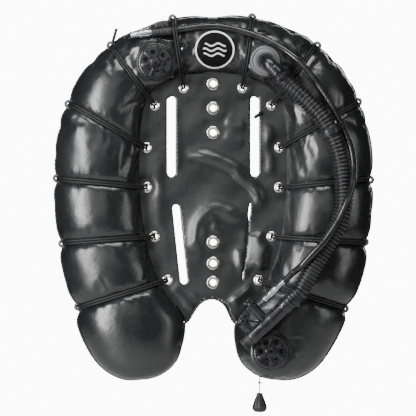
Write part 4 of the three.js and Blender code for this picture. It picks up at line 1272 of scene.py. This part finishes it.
# %% Piping
PIPING = 2.3
rows = cell_shape[:-2].reshape(ALONG - 1, AROUND, 3)
outer_row, inner_row = rows[:, 0], rows[:, AROUND // 2]
lobe = inner_row[:, 2] < PANEL_START + 2
left_inner = inner_row[lobe & (ts < 0.5)]
right_inner = inner_row[lobe & (ts > 0.5)]
notch_right = [(x + sway(z) - 1.2, 0, z - 1.6) for x, z in notch_line]
notch_left = [(-x + sway(z) + 1.2, 0, z - 1.6) for x, z in notch_line]
seam = np.vstack([outer_row[1:-1], right_inner[::-1][2:], notch_right, notch_left[::-1][1:],
                  left_inner[::-1][:-2]])
seam = respaced(np.vstack([seam, seam[:1]]), 3.0)[:-1]
for _ in range(6):
    seam = (np.roll(seam, 1, 0) + seam * 2 + np.roll(seam, -1, 0)) / 4
points, faces, lay = swept(seam * MM, PIPING * MM, 12, loop=True)
piece("seam_piping", points, faces, "wing", "piping", tape_weave, crease=180, lay=lay, hides=("edge_piping",))
print("piping", round(length_of(seam)), "mm")

# %% [markdown]
# ## Dump valves
# Each valve is a seat clamped through the cloth, a perforated cap and, inside, a rubber disc on a
# spring. The cap is turned, then six holes are cut in it with Booleans. A low rib stands between each
# two holes, higher at the middle, and its bevelled edges catch the light.


# %% Cutting and bevelling
def carved(name, part, cutters, bevel, body, slot, finish, hides=()):
    """A piece made from a solid with others cut out, its edges bevelled."""
    made = piece(name, *part, body, slot, finish, hides=hides)
    knives = []
    for k, cutter in enumerate(cutters):
        mesh = bpy.data.meshes.new(f"{name}_knife_{k}")
        mesh.from_pydata([tuple(p) for p in cutter[0]], [], [tuple(f) for f in cutter[1]])
        knife = bpy.data.objects.new(f"{name}_knife_{k}", mesh)
        bpy.context.scene.collection.objects.link(knife)
        cut = made.modifiers.new(f"cut_{k}", "BOOLEAN")
        cut.operation, cut.object, cut.solver = "DIFFERENCE", knife, "EXACT"
        knives.append(knife)
    if bevel:
        soften = made.modifiers.new("bevel", "BEVEL")
        soften.width, soften.segments, soften.limit_method = bevel * MM, 2, "ANGLE"
        soften.angle_limit = math.radians(40)
        soften.use_clamp_overlap = True
    bpy.context.view_layer.update()
    shape = bpy.data.meshes.new_from_object(made.evaluated_get(bpy.context.evaluated_depsgraph_get()))
    made.modifiers.clear()
    made.data = shape
    for knife in knives:
        bpy.data.objects.remove(knife)
    shape.shade_smooth()
    shape.set_sharp_from_angle(angle=math.radians(38))
    return made


def bar(radius, low, high, segments=32):
    return turned([(0, low), (radius, low), (radius, high), (0, high)], segments)


def moved(part, x, y, z):
    return placed(part, Matrix.Translation((x * MM, y * MM, z * MM)))


# %% Valve parts
def valve(name, seat, body_of_disc, turned_by):
    cx, cz, face, radius, height = seat
    turn = Matrix.Rotation(-math.pi / 2 * face, 4, "X")
    where = Matrix.Translation(Vector((cx, face * height, cz)) * MM) @ turn
    seat_profile = [(12, -12), (22, -12), (22, 0.3), (33, 0.3), (34.6, 0.8), (34.6, 2.4), (33, 3.3), (17, 3.3),
                    (17, -3), (12, -3)]
    seat_shape = turned(rounded(seat_profile, 0.6), 72)
    piece(f"{name}_flange", *placed(seat_shape, where), "wing", "valve_plastic", black_plastic,
          hides=(f"{name}_seat",))
    cap_profile = [(2.2, 8), (29, 8), (29, 3.6), (32, 3.6), (32, 7.6), (30.8, 9.6), (28.0, 10.4), (11.0, 10.7),
                   (9.4, 10.9), (8.2, 12.8), (2.2, 13.0)]
    cap = turned(rounded(cap_profile, 0.7), 144, 36, 0.8, lambda r, h: r > 30)
    corners = [(11, -2.2), (26.5, -3.6), (26.5, 3.6), (11, 2.2)]
    low, high = (9.4, 9.4, 9.4, 9.4), (13.0, 10.7, 10.7, 13.0)
    rib = [(r * MM, t * MM, h * MM) for level in (low, high) for (r, t), h in zip(corners, level)]
    sides_of_rib = [(0, 3, 2, 1), (4, 5, 6, 7), (0, 1, 5, 4), (1, 2, 6, 5), (2, 3, 7, 6), (3, 0, 4, 7)]
    holes, ribs = [], []
    for k in range(6):
        a = math.pi * k / 3 + turned_by
        hole = moved(bar(4.7, 6, 16), 19 * math.cos(a), 19 * math.sin(a), 0)
        holes.append(placed(hole, where))
        ribs.append(placed((rib, sides_of_rib), Matrix.Rotation(a + math.pi / 6, 4, "Z")))
    carved(f"{name}_cover", placed(cap, where), holes, 0.0, "wing", "valve_plastic", black_plastic,
           hides=(f"{name}_cap",))
    carved(f"{name}_ribs", placed(joined(*ribs), where), [], 0.5, "wing", "valve_plastic", black_plastic)
    disc_profile = [(0, -2.7), (15.3, -2.7), (15.3, -0.9), (13, -0.7), (4, -0.7), (1.6, 0.4), (1.5, 10), (0, 10)]
    piece(f"{name}_seal", *placed(turned(rounded(disc_profile, 0.3), 48), where), body_of_disc, "seal_rubber",
          seal_rubber, hides=(f"{name}_disc",))
    coil = [(8 * math.cos(a), 8 * math.sin(a), 0.4 + 6.6 * a / (6 * math.pi))
            for a in np.linspace(0, 6 * math.pi, 90)]
    points, faces, _ = swept(np.array(coil) * MM, 0.6 * MM, 8)
    coil_piece = piece(f"{name}_coil", *placed((points, faces), where), "wing", "spring_steel", spring_wire,
                       hides=(f"{name}_spring",))
    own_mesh(coil_piece)
    print(name, "at", round(cx), round(cz))


valve("shoulder_dump", seat_of["shoulder"], "shoulder_dump_valve", 0.76)
valve("hip_dump", seat_of["hip"], "hip_dump_valve", 0.0)
valve("rear_dump", seat_of["rear"], "rear_dump_valve", 0.35)

# %% [markdown]
# ## Pull cords
# A short cord lifts the shoulder valve's stem. The rear valve's cord goes down behind the right lobe,
# through a small keeper on the seam, and ends in the ribbed knob that a gloved hand can find.

# %% Pull cords, knob, toggle and keeper
CORD = 1.1
HUB_HEIGHT = 13 + 0.3
shoulder_hub = seat_of["shoulder"][4] + HUB_HEIGHT + CORD
rear_hub = seat_of["rear"][4] + HUB_HEIGHT + CORD
SHOULDER_CORD = [(-103, -shoulder_hub, 221), (-102.6, -shoulder_hub, 226), (-102.2, -shoulder_hub, 232),
                 (-101.6, -shoulder_hub, 238), (-101, -shoulder_hub, 244), (-100.5, 1 - shoulder_hub, 250),
                 (-100.2, 2 - shoulder_hub, 255)]
REAR_CORD = [(112, rear_hub, -288), (110.5, rear_hub, -291), (106, rear_hub, -299), (101, rear_hub, -307.5),
             (96, rear_hub, -315.5), (91, rear_hub - 3, -323), (87.3, rear_hub - 12, -329), (85.2, 45, -334),
             (84.4, 30, -338.5), (84.1, 20, -343.5), (84, 14.5, -349), (84, 13, -355), (84, 12.6, -361),
             (84, 12.4, -367), (84, 12.3, -372.5)]
shoulder_path = curve_through(SHOULDER_CORD, 1.0)
points, faces, lay = swept(shoulder_path * MM, CORD * MM, 10)
shoulder_cord = piece("shoulder_pull_cord", points, faces, "shoulder_dump_pull", "cord", cord_braid, crease=180,
                      lay=lay, hides=("shoulder_dump_cord",))
toggle_profile = [(0, -0.2), (2.8, 0), (4.1, 2.6), (4.2, 6), (3, 8.8), (0, 9)]
toggle_shape = turned(rounded(toggle_profile, 0.8), 36, 10, 0.5, lambda r, h: r > 3.6)
toggle = moved(toggle_shape, -100.1, 2.2 - shoulder_hub, 255.4)
toggle_piece = piece("shoulder_toggle", *toggle, "shoulder_dump_pull", "valve_plastic", black_plastic,
                     hides=("shoulder_dump_toggle",))
rear_path = curve_through(REAR_CORD, 1.5)
points, faces, lay = swept(rear_path * MM, CORD * MM, 10)
rear_cord = piece("rear_pull_cord", points, faces, "rear_dump_pull", "cord", cord_braid, crease=180, lay=lay,
                  hides=("rear_dump_cord",))
knob_profile = [(0, -372.8), (3.6, -372.9), (5.9, -374.2), (6.3, -376), (6.0, -377.6), (7.2, -380), (8.8, -384),
                (10.5, -388.5), (12, -393), (13.3, -397.5), (13.5, -400), (12.5, -403.6), (10, -406.6),
                (6, -408.1), (0, -408.5)]
knob = moved(turned(rounded(knob_profile, 0.6), 96, 16, 0.6, lambda r, h: -404 < h < -380), 84, 12.3, 0)
knob_piece = piece("pull_knob", *knob, "rear_dump_pull", "valve_plastic", seal_rubber,
                   hides=("rear_dump_knob",))
tuple(shoulder_path[0] * MM)
round(length_of(shoulder_path) * MM, 4)
[tuple(p * MM) for p in shoulder_path]
tuple(rear_path[0] * MM)
round(length_of(rear_path) * MM, 4)
[tuple(p * MM) for p in rear_path]
keeper_ring = turned(rounded([(4.6, -1.4), (5.9, -1.4), (5.9, 1.4), (4.6, 1.4)], 0.5), 32)
keeper = placed(keeper_ring, Matrix.Diagonal((0.6, 1, 1, 1)))
piece("cord_keeper", *moved(keeper, 84, 15.6, -355), "wing", "valve_plastic", black_plastic)
print("pull cords", round(length_of(shoulder_path)), "and", round(length_of(rear_path)), "mm")

# %% [markdown]
# ## Elbow
# The elbow screws into a light grey flange and turns the hose downwards. It is one moulding: a bent
# tube, then a ribbed grip, then a smooth collar where the hose pushes on. The grip's ribs are part of
# the sweep's changing radius.

# %% Elbow, flange and clamps
flange_profile = [(10.5, -10), (15, -10), (15, 0.3), (26.6, 0.3), (27.5, 1.2), (27.5, 2.4), (26.2, 4.0),
                  (23.6, 4.4), (22.8, 3.2), (20.6, 3.2), (19.8, 4.4), (16.6, 4.4), (16.2, 3.4), (10.5, 3.4)]
flange_at = Vector((elbow_base.x, -elbow_height, elbow_base.z))
elbow_face = Matrix.Translation(flange_at * MM) @ FACE_FRONT
piece("port_flange", *placed(turned(rounded(flange_profile, 0.5), 96, 24, 0.5, lambda r, h: r > 27), elbow_face),
      "wing", "grey_plastic", grey_plastic, hides=("elbow_flange",))
elbow_line = curve_through([tuple(p) for p in elbow_path], 0.7)
elbow_far = np.arange(len(elbow_line)) * length_of(elbow_line) / (len(elbow_line) - 1)
elbow_long = elbow_far[-1]
grip_zone = eased((elbow_far - elbow_long + 19) / 1.5) * eased((elbow_long - 4 - elbow_far) / 1.5)
foot = eased((6 - elbow_far) / 5)
elbow_radii = 12.6 + 1.6 * foot + grip_zone * (1.3 + 0.3 * np.cos(2 * math.pi * elbow_far / 3.2))
elbow_radii += 1.5 * eased((elbow_far - elbow_long + 3.6) / 1.0)
points, faces, _ = swept(elbow_line * MM, elbow_radii * MM, 40, bore=9.5 * MM)
spigot = placed(turned([(9.5, -3), (11.5, -3), (11.5, 15), (9.5, 15)], 40), upright(elbow_end * MM, elbow_run))
piece("elbow_bend", *joined((list(points), faces), spigot), "wing", "valve_plastic", black_plastic,
      hides=("elbow",))


def clamp(name, node, origin, direction, length):
    inner = 17.5
    profile = [(inner, 0), (inner + 1.6, 0), (inner + 1.6, length), (inner, length)]
    band = placed(turned(rounded(profile, 0.5), 56), upright(origin * MM, direction))
    side = Vector(direction).cross(OUTWARDS).normalized()
    lug = turned(rounded([(0, 0), (2.6, 0), (2.6, 5), (0, 5)], 0.6), 20)
    head = placed(lug, upright((origin + Vector(direction) * length / 2 + side * 17.6) * MM, side))
    piece(name, *joined(band, head), "wing", "valve_plastic", black_plastic, hides=(node,))


clamp("upper_clamp", "elbow_clamp", hose_start + elbow_run, elbow_run, 8)
clamp("lower_clamp", "inflator_clamp", hose_end - inflator_axis * 7, inflator_axis, 4.8)


# %% Band between the hoses
def nearest(path, target):
    gaps = np.linalg.norm(path - np.array(target), axis=1)
    return int(gaps.argmin())


BAND_ON_HOSE, BAND_ON_AIR_HOSE = (211, -82.5, 97), (230.5, -74.7, 107)
band_at = nearest(hose_path, BAND_ON_HOSE)
on_hose = hose_path[band_at]
band_run = Vector(hose_path[band_at + 3] - hose_path[band_at - 3]).normalized()
air_fine = curve_through(AIR_HOSE_ROUTE, 0.8)
on_air_hose = air_fine[nearest(air_fine, BAND_ON_AIR_HOSE)]
apart = Vector(on_air_hose - on_hose)
apart -= band_run * apart.dot(band_run)
sideways = apart.normalized()
third = band_run.cross(sideways)
ROUND_HOSE, ROUND_AIR_HOSE = 17.9, AIR_HOSE + 1.5
loop_points = []
for a in np.linspace(0, 2 * math.pi, 72, endpoint=False):
    reach = ROUND_HOSE
    ahead, aside = apart.length * math.cos(a), apart.length * math.sin(a)
    if abs(aside) < ROUND_AIR_HOSE and ahead > 0:
        reach = max(reach, ahead + math.sqrt(ROUND_AIR_HOSE ** 2 - aside ** 2))
    loop_points.append(Vector(on_hose) + sideways * reach * math.cos(a) + third * reach * math.sin(a))
loop_array = np.array([tuple(p) for p in loop_points])
for _ in range(2):
    loop_array = (np.roll(loop_array, 1, 0) + 2 * loop_array + np.roll(loop_array, -1, 0)) / 4
strap_points, strap_faces = [], []
STRAP_HALF, STRAP_WALL = 6.5, 1.5
strap_section = [(0, -STRAP_HALF), (STRAP_WALL, -STRAP_HALF + 0.6), (STRAP_WALL + 0.3, 0),
                 (STRAP_WALL, STRAP_HALF - 0.6), (0, STRAP_HALF)]
count, wide = len(loop_array), len(strap_section)
for p in loop_array:
    out = (Vector(p) - Vector(on_hose)).normalized()
    for lift, shift in strap_section:
        strap_points.append((Vector(p) + out * lift + band_run * shift) * MM)
for k in range(count):
    for j in range(wide):
        n, m = (j + 1) % wide, (k + 1) % count
        strap_faces.append((k * wide + j, k * wide + n, m * wide + n, m * wide + j))
piece("hose_strap", strap_points, strap_faces, "wing", "hose_rubber", hose_rubber, crease=50,
      hides=("hose_band",))
print("band joins hoses", round(apart.length, 1), "mm apart")

# %% [markdown]
# ## Power inflator
# The handset is a barrel on the hose's end with two short arms that point at the diver's thumb. The
# longer arm carries the inflate button and takes gas from the coupler; the shorter one opens the
# mouthpiece valve. All of it is built in the handset's own frame, x down the barrel and z up the arms.

# %% Handset
handset = basis(hose_end * MM, inflator_axis, OUTWARDS, up_left)
DOWN = Matrix.Rotation(math.pi / 2, 4, "Y")
ARMS = {"inflate": dict(along=57, radius=10.0, top=46, floor=38, cap=9.0),
        "exhaust": dict(along=88, radius=9.5, top=30, floor=22, cap=12.5)}
barrel_profile = [(8.5, -15), (11.5, -15), (11.5, 0.3), (14.6, 0.3), (15.0, 1.4), (15.0, 4), (14.2, 4.8),
                  (14.2, 7), (15.0, 7.8), (15.0, 12), (14.4, 18), (13.5, 20), (13.5, 46), (13.9, 47),
                  (13.9, 49), (13.5, 50), (13.5, 66), (14.1, 67), (14.1, 70), (13.5, 71), (13.5, 94),
                  (12.6, 98), (8.5, 98)]
barrel = placed(turned(rounded(barrel_profile, 0.6), 64), DOWN)
arm_parts = []
for arm in ARMS.values():
    wide, top = arm["radius"], arm["top"]
    collar = [(0, 9), (wide - 0.8, 9), (wide - 0.8, top - 9), (wide, top - 8), (wide, top), (6.6, top),
              (6.6, arm["floor"]), (0, arm["floor"])]
    arm_parts.append(moved(turned(rounded(collar, 0.7), 48), arm["along"], 0, 0))


def slab(corners, half):
    """A flat plate in x and z with a rounded outline, half its thickness each way in y."""
    corners = [tuple(map(float, c)) for c in corners]
    ring = respaced(np.array(corners + corners[:1]), 1.5)[:-1]
    for _ in range(2):
        ring = (np.roll(ring, 1, 0) + 2 * ring + np.roll(ring, -1, 0)) / 4
    count = len(ring)
    inset = ring + (ring.mean(0) - ring) * 0.05
    layers = [(inset, -half), (ring, -half + 0.5), (ring, half - 0.5), (inset, half)]
    points = [(x * MM, y * MM, z * MM) for layer, y in layers for x, z in layer]
    faces = [(i * count + k, i * count + (k + 1) % count, (i + 1) * count + (k + 1) % count, (i + 1) * count + k)
             for i in range(3) for k in range(count)]
    faces += [tuple(reversed(range(count))), tuple(range(3 * count, 4 * count))]
    return points, faces


web = slab([(58, 14), (65, 14), (76.5, 25.5), (75, 28), (62, 36)], 5.0)
third_web = slab([(69, 10), (82, 10), (82, 22), (78.5, 24.5), (67, 13)], 5.0)
second_web = slab([(32, 11), (50, 11), (50, 26)], 2.2)
# A black bar fills the gap between the webs: a dark strip put there as painted shade, for the shadow in that
# gap.
gap_shade_bar = slab([(64, 10.5), (66.5, 10.5), (80, 24), (80, 28), (77, 27.2)], 5.3)
parts = [placed(part, handset) for part in (barrel, *arm_parts, gap_shade_bar)]
piece("handset_body", *joined(*parts), "wing", "valve_plastic", black_plastic, hides=("inflator_body",))
# The webs take the lighter copy of the black plastic: a painted highlight on their flat faces.
webs = placed(joined(web, second_web, third_web), handset)
piece("handset_webs", *webs, "wing", "valve_plastic", web_highlight_plastic)
print("handset", len(parts), "shells")


# %% Buttons and their springs
def press_button(name, arm, finish):
    low = arm["top"] + 4.5
    cap = arm["cap"]
    profile = [(0, arm["floor"] - 2), (3, arm["floor"] - 2), (3, low), (cap, low), (cap, low + 3.8),
               (cap - 1.2, low + 5), (cap - 3, low + 4.6), (cap - 4, low + 4.2), (0, low + 4.6)]
    shape = moved(turned(rounded(profile, 0.6), 96, 24, 0.6, lambda r, h: r > cap - 0.4 and h > low + 0.5),
                  arm["along"], 0, 0)
    piece(f"{name}_press", *placed(shape, handset), f"{name}_button", "grey_plastic", finish,
          hides=(f"{name}_button",))
    high = low - 0.3
    floor = arm["floor"] + 0.3
    turns = np.linspace(0, 8 * math.pi, 110)
    coil = [(5 * math.cos(a), 5 * math.sin(a), floor + 0.5 + (high - floor - 1) * a / (8 * math.pi))
            for a in turns]
    points, faces, _ = swept(np.array(coil) * MM, 0.5 * MM, 8)
    coil_piece = piece(f"{name}_coil", *placed(moved((points, faces), arm["along"], 0, 0), handset), "wing",
                       "spring_steel", spring_wire, hides=(f"{name}_spring",))
    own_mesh(coil_piece)


press_button("inflate", ARMS["inflate"], black_plastic)
press_button("exhaust", ARMS["exhaust"], black_plastic)

# %% Mouthpiece
# Each ring's place down the barrel, and its two half widths.
lip_path = [(98.3, 11, 11), (101, 11.6, 11.6), (104, 10.6, 10.6), (108, 10.2, 12), (111.3, 10.6, 15.5),
            (113.0, 11, 17), (115.4, 11, 17), (116.3, 10.2, 16.2)]
mouth_points, mouth_faces, sides = [], [], 48
inner_path = [(116.3, 8.4, 11.6), (112, 7.6, 9), (107, 7.5, 7.6), (98.3, 7.5, 7.5)]
for station, wide, high in lip_path + inner_path:
    for k in range(sides):
        a = 2 * math.pi * k / sides
        mouth_points.append((station * MM, high * math.cos(a) * MM, wide * math.sin(a) * MM))
layers = len(lip_path) + len(inner_path)
for i in range(layers):
    a, b = i * sides, ((i + 1) % layers) * sides
    mouth_faces += [(a + k, a + (k + 1) % sides, b + (k + 1) % sides, b + k) for k in range(sides)]
mouth = placed((mouth_points, mouth_faces), handset)
piece("mouth_tube", *mouth, "wing", "seal_rubber", seal_rubber, hides=("mouthpiece",))
print("mouthpiece", layers, "rings")

# %% [markdown]
# ## Coupler
# The quick coupler is plated brass. Its sleeve slides back to let go of the nipple, so the sleeve is
# its own piece on its own body, with shallow flutes round it so that wet fingers grip it.

# %% Coupler, collar and nipple
inlet = handset @ Matrix.Translation((0, 0, INLET_AXIS * MM)) @ DOWN
coupler_profile = [(0, COUPLER_FROM), (5.5, COUPLER_FROM), (5.7, -14), (5.7, -12), (5.0, -11.4), (5.0, -8),
                   (5.6, -7), (5.6, 27), (6.4, 28), (6.4, 32), (5.8, 33), (0, 33)]
piece("coupler_core", *placed(turned(rounded(coupler_profile, 0.3), 48), inlet), "wing", "chrome", chrome,
      hides=("coupler_body",))
collar_profile = [(5.9, 2), (7.0, 2), (7.3, 2.6), (7.3, 5), (6.7, 6.4), (6.7, 15.4), (7.3, 17), (7.3, 19.4),
                  (7.0, 20), (5.9, 20)]
collar_shape = turned(rounded(collar_profile, 0.3), 96, 24, 0.3, lambda r, h: 6.2 < h < 15.6 and r > 6.3)
piece("coupler_sleeve", *placed(collar_shape, inlet), "coupler_collar", "chrome", chrome,
      hides=("coupler_collar",))
nipple_profile = [(0, 33.3), (5, 33.3), (5, 37.4), (4, 38.6), (4, 43.4), (6, 44.6), (6, 46.7), (0, 46.7)]
piece("inlet_fitting", *placed(turned(rounded(nipple_profile, 0.4), 36), inlet), "wing", "chrome", satin_metal,
      hides=("inlet_nipple",))
print("coupler done")

# %% [markdown]
# ## Patches on the cell
# The badge and the diamond tab are flat goods sewn on to a curved bag. Each is cut flat with its
# holes, then every point is dropped on to the cell's skin and lifted by the patch's thickness, so that
# it drapes without stretching much. The keeper at the top edge is a short band that stands on edge.


# %% Patches that follow the skin
def patch(name, outline, holes, thick, spacing, finish, slot, lift=0.3, hides=(), shape=None):
    """A flat shape laid on the skin. Its sides run along the edges that only one face has."""
    flat, faces = cut_cloth(outline, holes, spacing)
    count = len(flat)
    points = []
    for top in (True, False):
        for x, z in flat:
            y = surface_y(x, z, -1, -2.0) - lift
            raise_by = thick * (shape(x, z) if shape else 1.0)
            points.append((x * MM, (y - raise_by * top) * MM, z * MM))
    edges = [(a, b) for face in faces for a, b in zip(face, face[1:] + face[:1])]
    known = set(edges)
    sides = [(b, a, a + count, b + count) for a, b in edges if (b, a) not in known]
    both = list(faces) + [tuple(k + count for k in reversed(face)) for face in faces] + sides
    made = piece(name, points, both, "wing", slot, finish, crease=50, hides=hides)
    mesh = bmesh.new()
    mesh.from_mesh(made.data)
    bmesh.ops.recalc_face_normals(mesh, faces=mesh.faces)
    mesh.to_mesh(made.data)
    mesh.free()
    return made


BADGE_X, BADGE_Z, BADGE_R, BADGE_FLAT = 3.0, 244.0, 36.3, 0.955
# The print, in metres: the ring's two radii, the waves' reach, half their thickness and their distance.
RING_FROM, RING_TO, WAVES_REACH, WAVE_HALF, WAVE_STEP = 0.0326, 0.0354, 0.021, 0.0015, 0.009
badge_print = Finish("badge_print", (0.003, 0.003, 0.003), 0.5, Specular_IOR_Level=0.12)
bx, _, bz = badge_print.split(badge_print.place())
bx, bz = bx - BADGE_X * MM, bz - BADGE_Z * MM
from_middle = (bx ** 2 + (bz / BADGE_FLAT) ** 2) ** 0.5
white_ring = (from_middle > RING_FROM) * (from_middle < RING_TO)
wave_at = (bx * 260.0).sine() * 0.0024
lines = ((abs(bz - wave_at) < WAVE_HALF) + (abs(bz - wave_at - WAVE_STEP) < WAVE_HALF)
         + (abs(bz - wave_at + WAVE_STEP) < WAVE_HALF))
emblem = lines * (from_middle < WAVES_REACH)
printed = badge_print.colours(white_ring + emblem * 0.75, (0.003, 0.003, 0.003), (0.86, 0.86, 0.86))
badge_print.give("Base Color", printed)
badge_print.give("Roughness", 0.5 - white_ring * 0.05 + badge_print.noise(80.0) * 0.06)
badge_print.give("Normal", badge_print.bump(badge_print.noise(700.0, 2.0), 0.00008))


def badge_height(x, z):
    away = math.hypot(x - BADGE_X, (z - BADGE_Z) / BADGE_FLAT)
    return 1.0 + 0.45 * (1 if away > 31.8 else 0)


badge_outline = [(x, BADGE_Z + (z - BADGE_Z) * BADGE_FLAT)
                 for x, z in ring_points(BADGE_X, BADGE_Z, BADGE_R, 96)]
patch("round_badge", badge_outline, [], 1.3, 2.6, badge_print, "badge", hides=("badge",), shape=badge_height)

TAB_X, TAB_Z = -55.5, 252.0
tab_webbing = coated_cloth("tab_webbing", (0.006, 0.006, 0.0065), (0.018, 0.018, 0.019), 0.55, 0.0002)
tab_corners = [(TAB_X - 13, TAB_Z + 2), (TAB_X - 2, TAB_Z + 17), (TAB_X + 13, TAB_Z), (TAB_X - 3, TAB_Z - 15)]
diamond = even_loop(tab_corners, 1.5)
patch("diamond_tab", diamond, [ring_points(TAB_X, TAB_Z + 1, 4.6, 20)], 2.4, 2.2, tab_webbing, "panel_fabric")
eyelet_y = surface_y(TAB_X, TAB_Z + 1) - 2.4
eyelet_profile = [(3.2, -1.5), (4.3, -1.5), (4.3, 0.2), (6.6, 0.4), (6.4, 1.3), (3.2, 1.5)]
eyelet = placed(turned(rounded(eyelet_profile, 0.4), 32),
                Matrix.Translation((TAB_X * MM, eyelet_y * MM, (TAB_Z + 1) * MM)) @ FACE_FRONT)
piece("tab_eyelet", *eyelet, "wing", "valve_plastic", black_plastic)
print("badge and diamond tab placed")

# %% Keeper at the top edge, loose lace ends and bead on the tab
keeper_outline = even_loop([(-105.3, 292.8), (-79.2, 297.8), (-79.2, 284), (-105.3, 282.6)], 1.5)
keeper_flat, keeper_faces = cut_cloth(keeper_outline, [], 3.0)
keeper_points = [(x * MM, -26 * MM, z * MM) for x, z in keeper_flat]
edge_keeper = piece("top_keeper", keeper_points, keeper_faces, "wing", "piping", tab_webbing, crease=60,
                    lay=[(x * MM, z * MM * 60, 0) for x, z in keeper_flat])
wall = edge_keeper.modifiers.new("thickness", "SOLIDIFY")
wall.thickness, wall.offset = 9 * MM, 0

stub = [(75, -5, 122.5), (77, -6, 124.2), (80, -6, 126.3), (84, -5, 129), (88, -3.5, 131)]
stub_path = curve_through(stub, 1.0)
points, faces, lay = swept(stub_path * MM, 3.2 * MM, 12)
piece("lace_end", points, faces, "wing", "bungee", lace_braid, crease=180, lay=lay)
tail_path = curve_through([(-181, -3, 250), (-179.5, -5, 261), (-176.5, -5.5, 272), (-173.5, -5, 283)], 1.0)
points, faces, lay = swept(tail_path * MM, 2.9 * MM, 12)
piece("lace_tail", points, faces, "wing", "bungee", lace_braid, crease=180, lay=lay)
for word, bends in (("top", [(80, 278.5), (88, 279.3), (95, 278.6), (99.5, 276), (100.5, 271.5)]),
                    ("side", [(169, 228), (159.5, 229), (154.5, 239), (156.5, 250), (163, 254.5)])):
    end_path = curve_through([(x, surface_y(x, z) - 1.8, z) for x, z in bends], 1.0)
    points, faces, lay = swept(end_path * MM, 2.2 * MM, 12)
    piece(f"lace_curl_{word}", points, faces, "wing", "bungee", lace_braid, crease=180, lay=lay)
bead_profile = [(0, -2.6), (1.6, -2.4), (2.6, -1), (2.6, 1), (1.6, 2.4), (0, 2.6)]
bead_y = surface_y(TAB_X, TAB_Z - 6) - 4.4
bead = placed(turned(rounded(bead_profile, 0.6), 24),
              Matrix.Translation((TAB_X * MM, bead_y * MM, (TAB_Z - 6) * MM)))
piece("tab_bead", *bead, "wing", "chrome", chrome)
print("small goods placed")
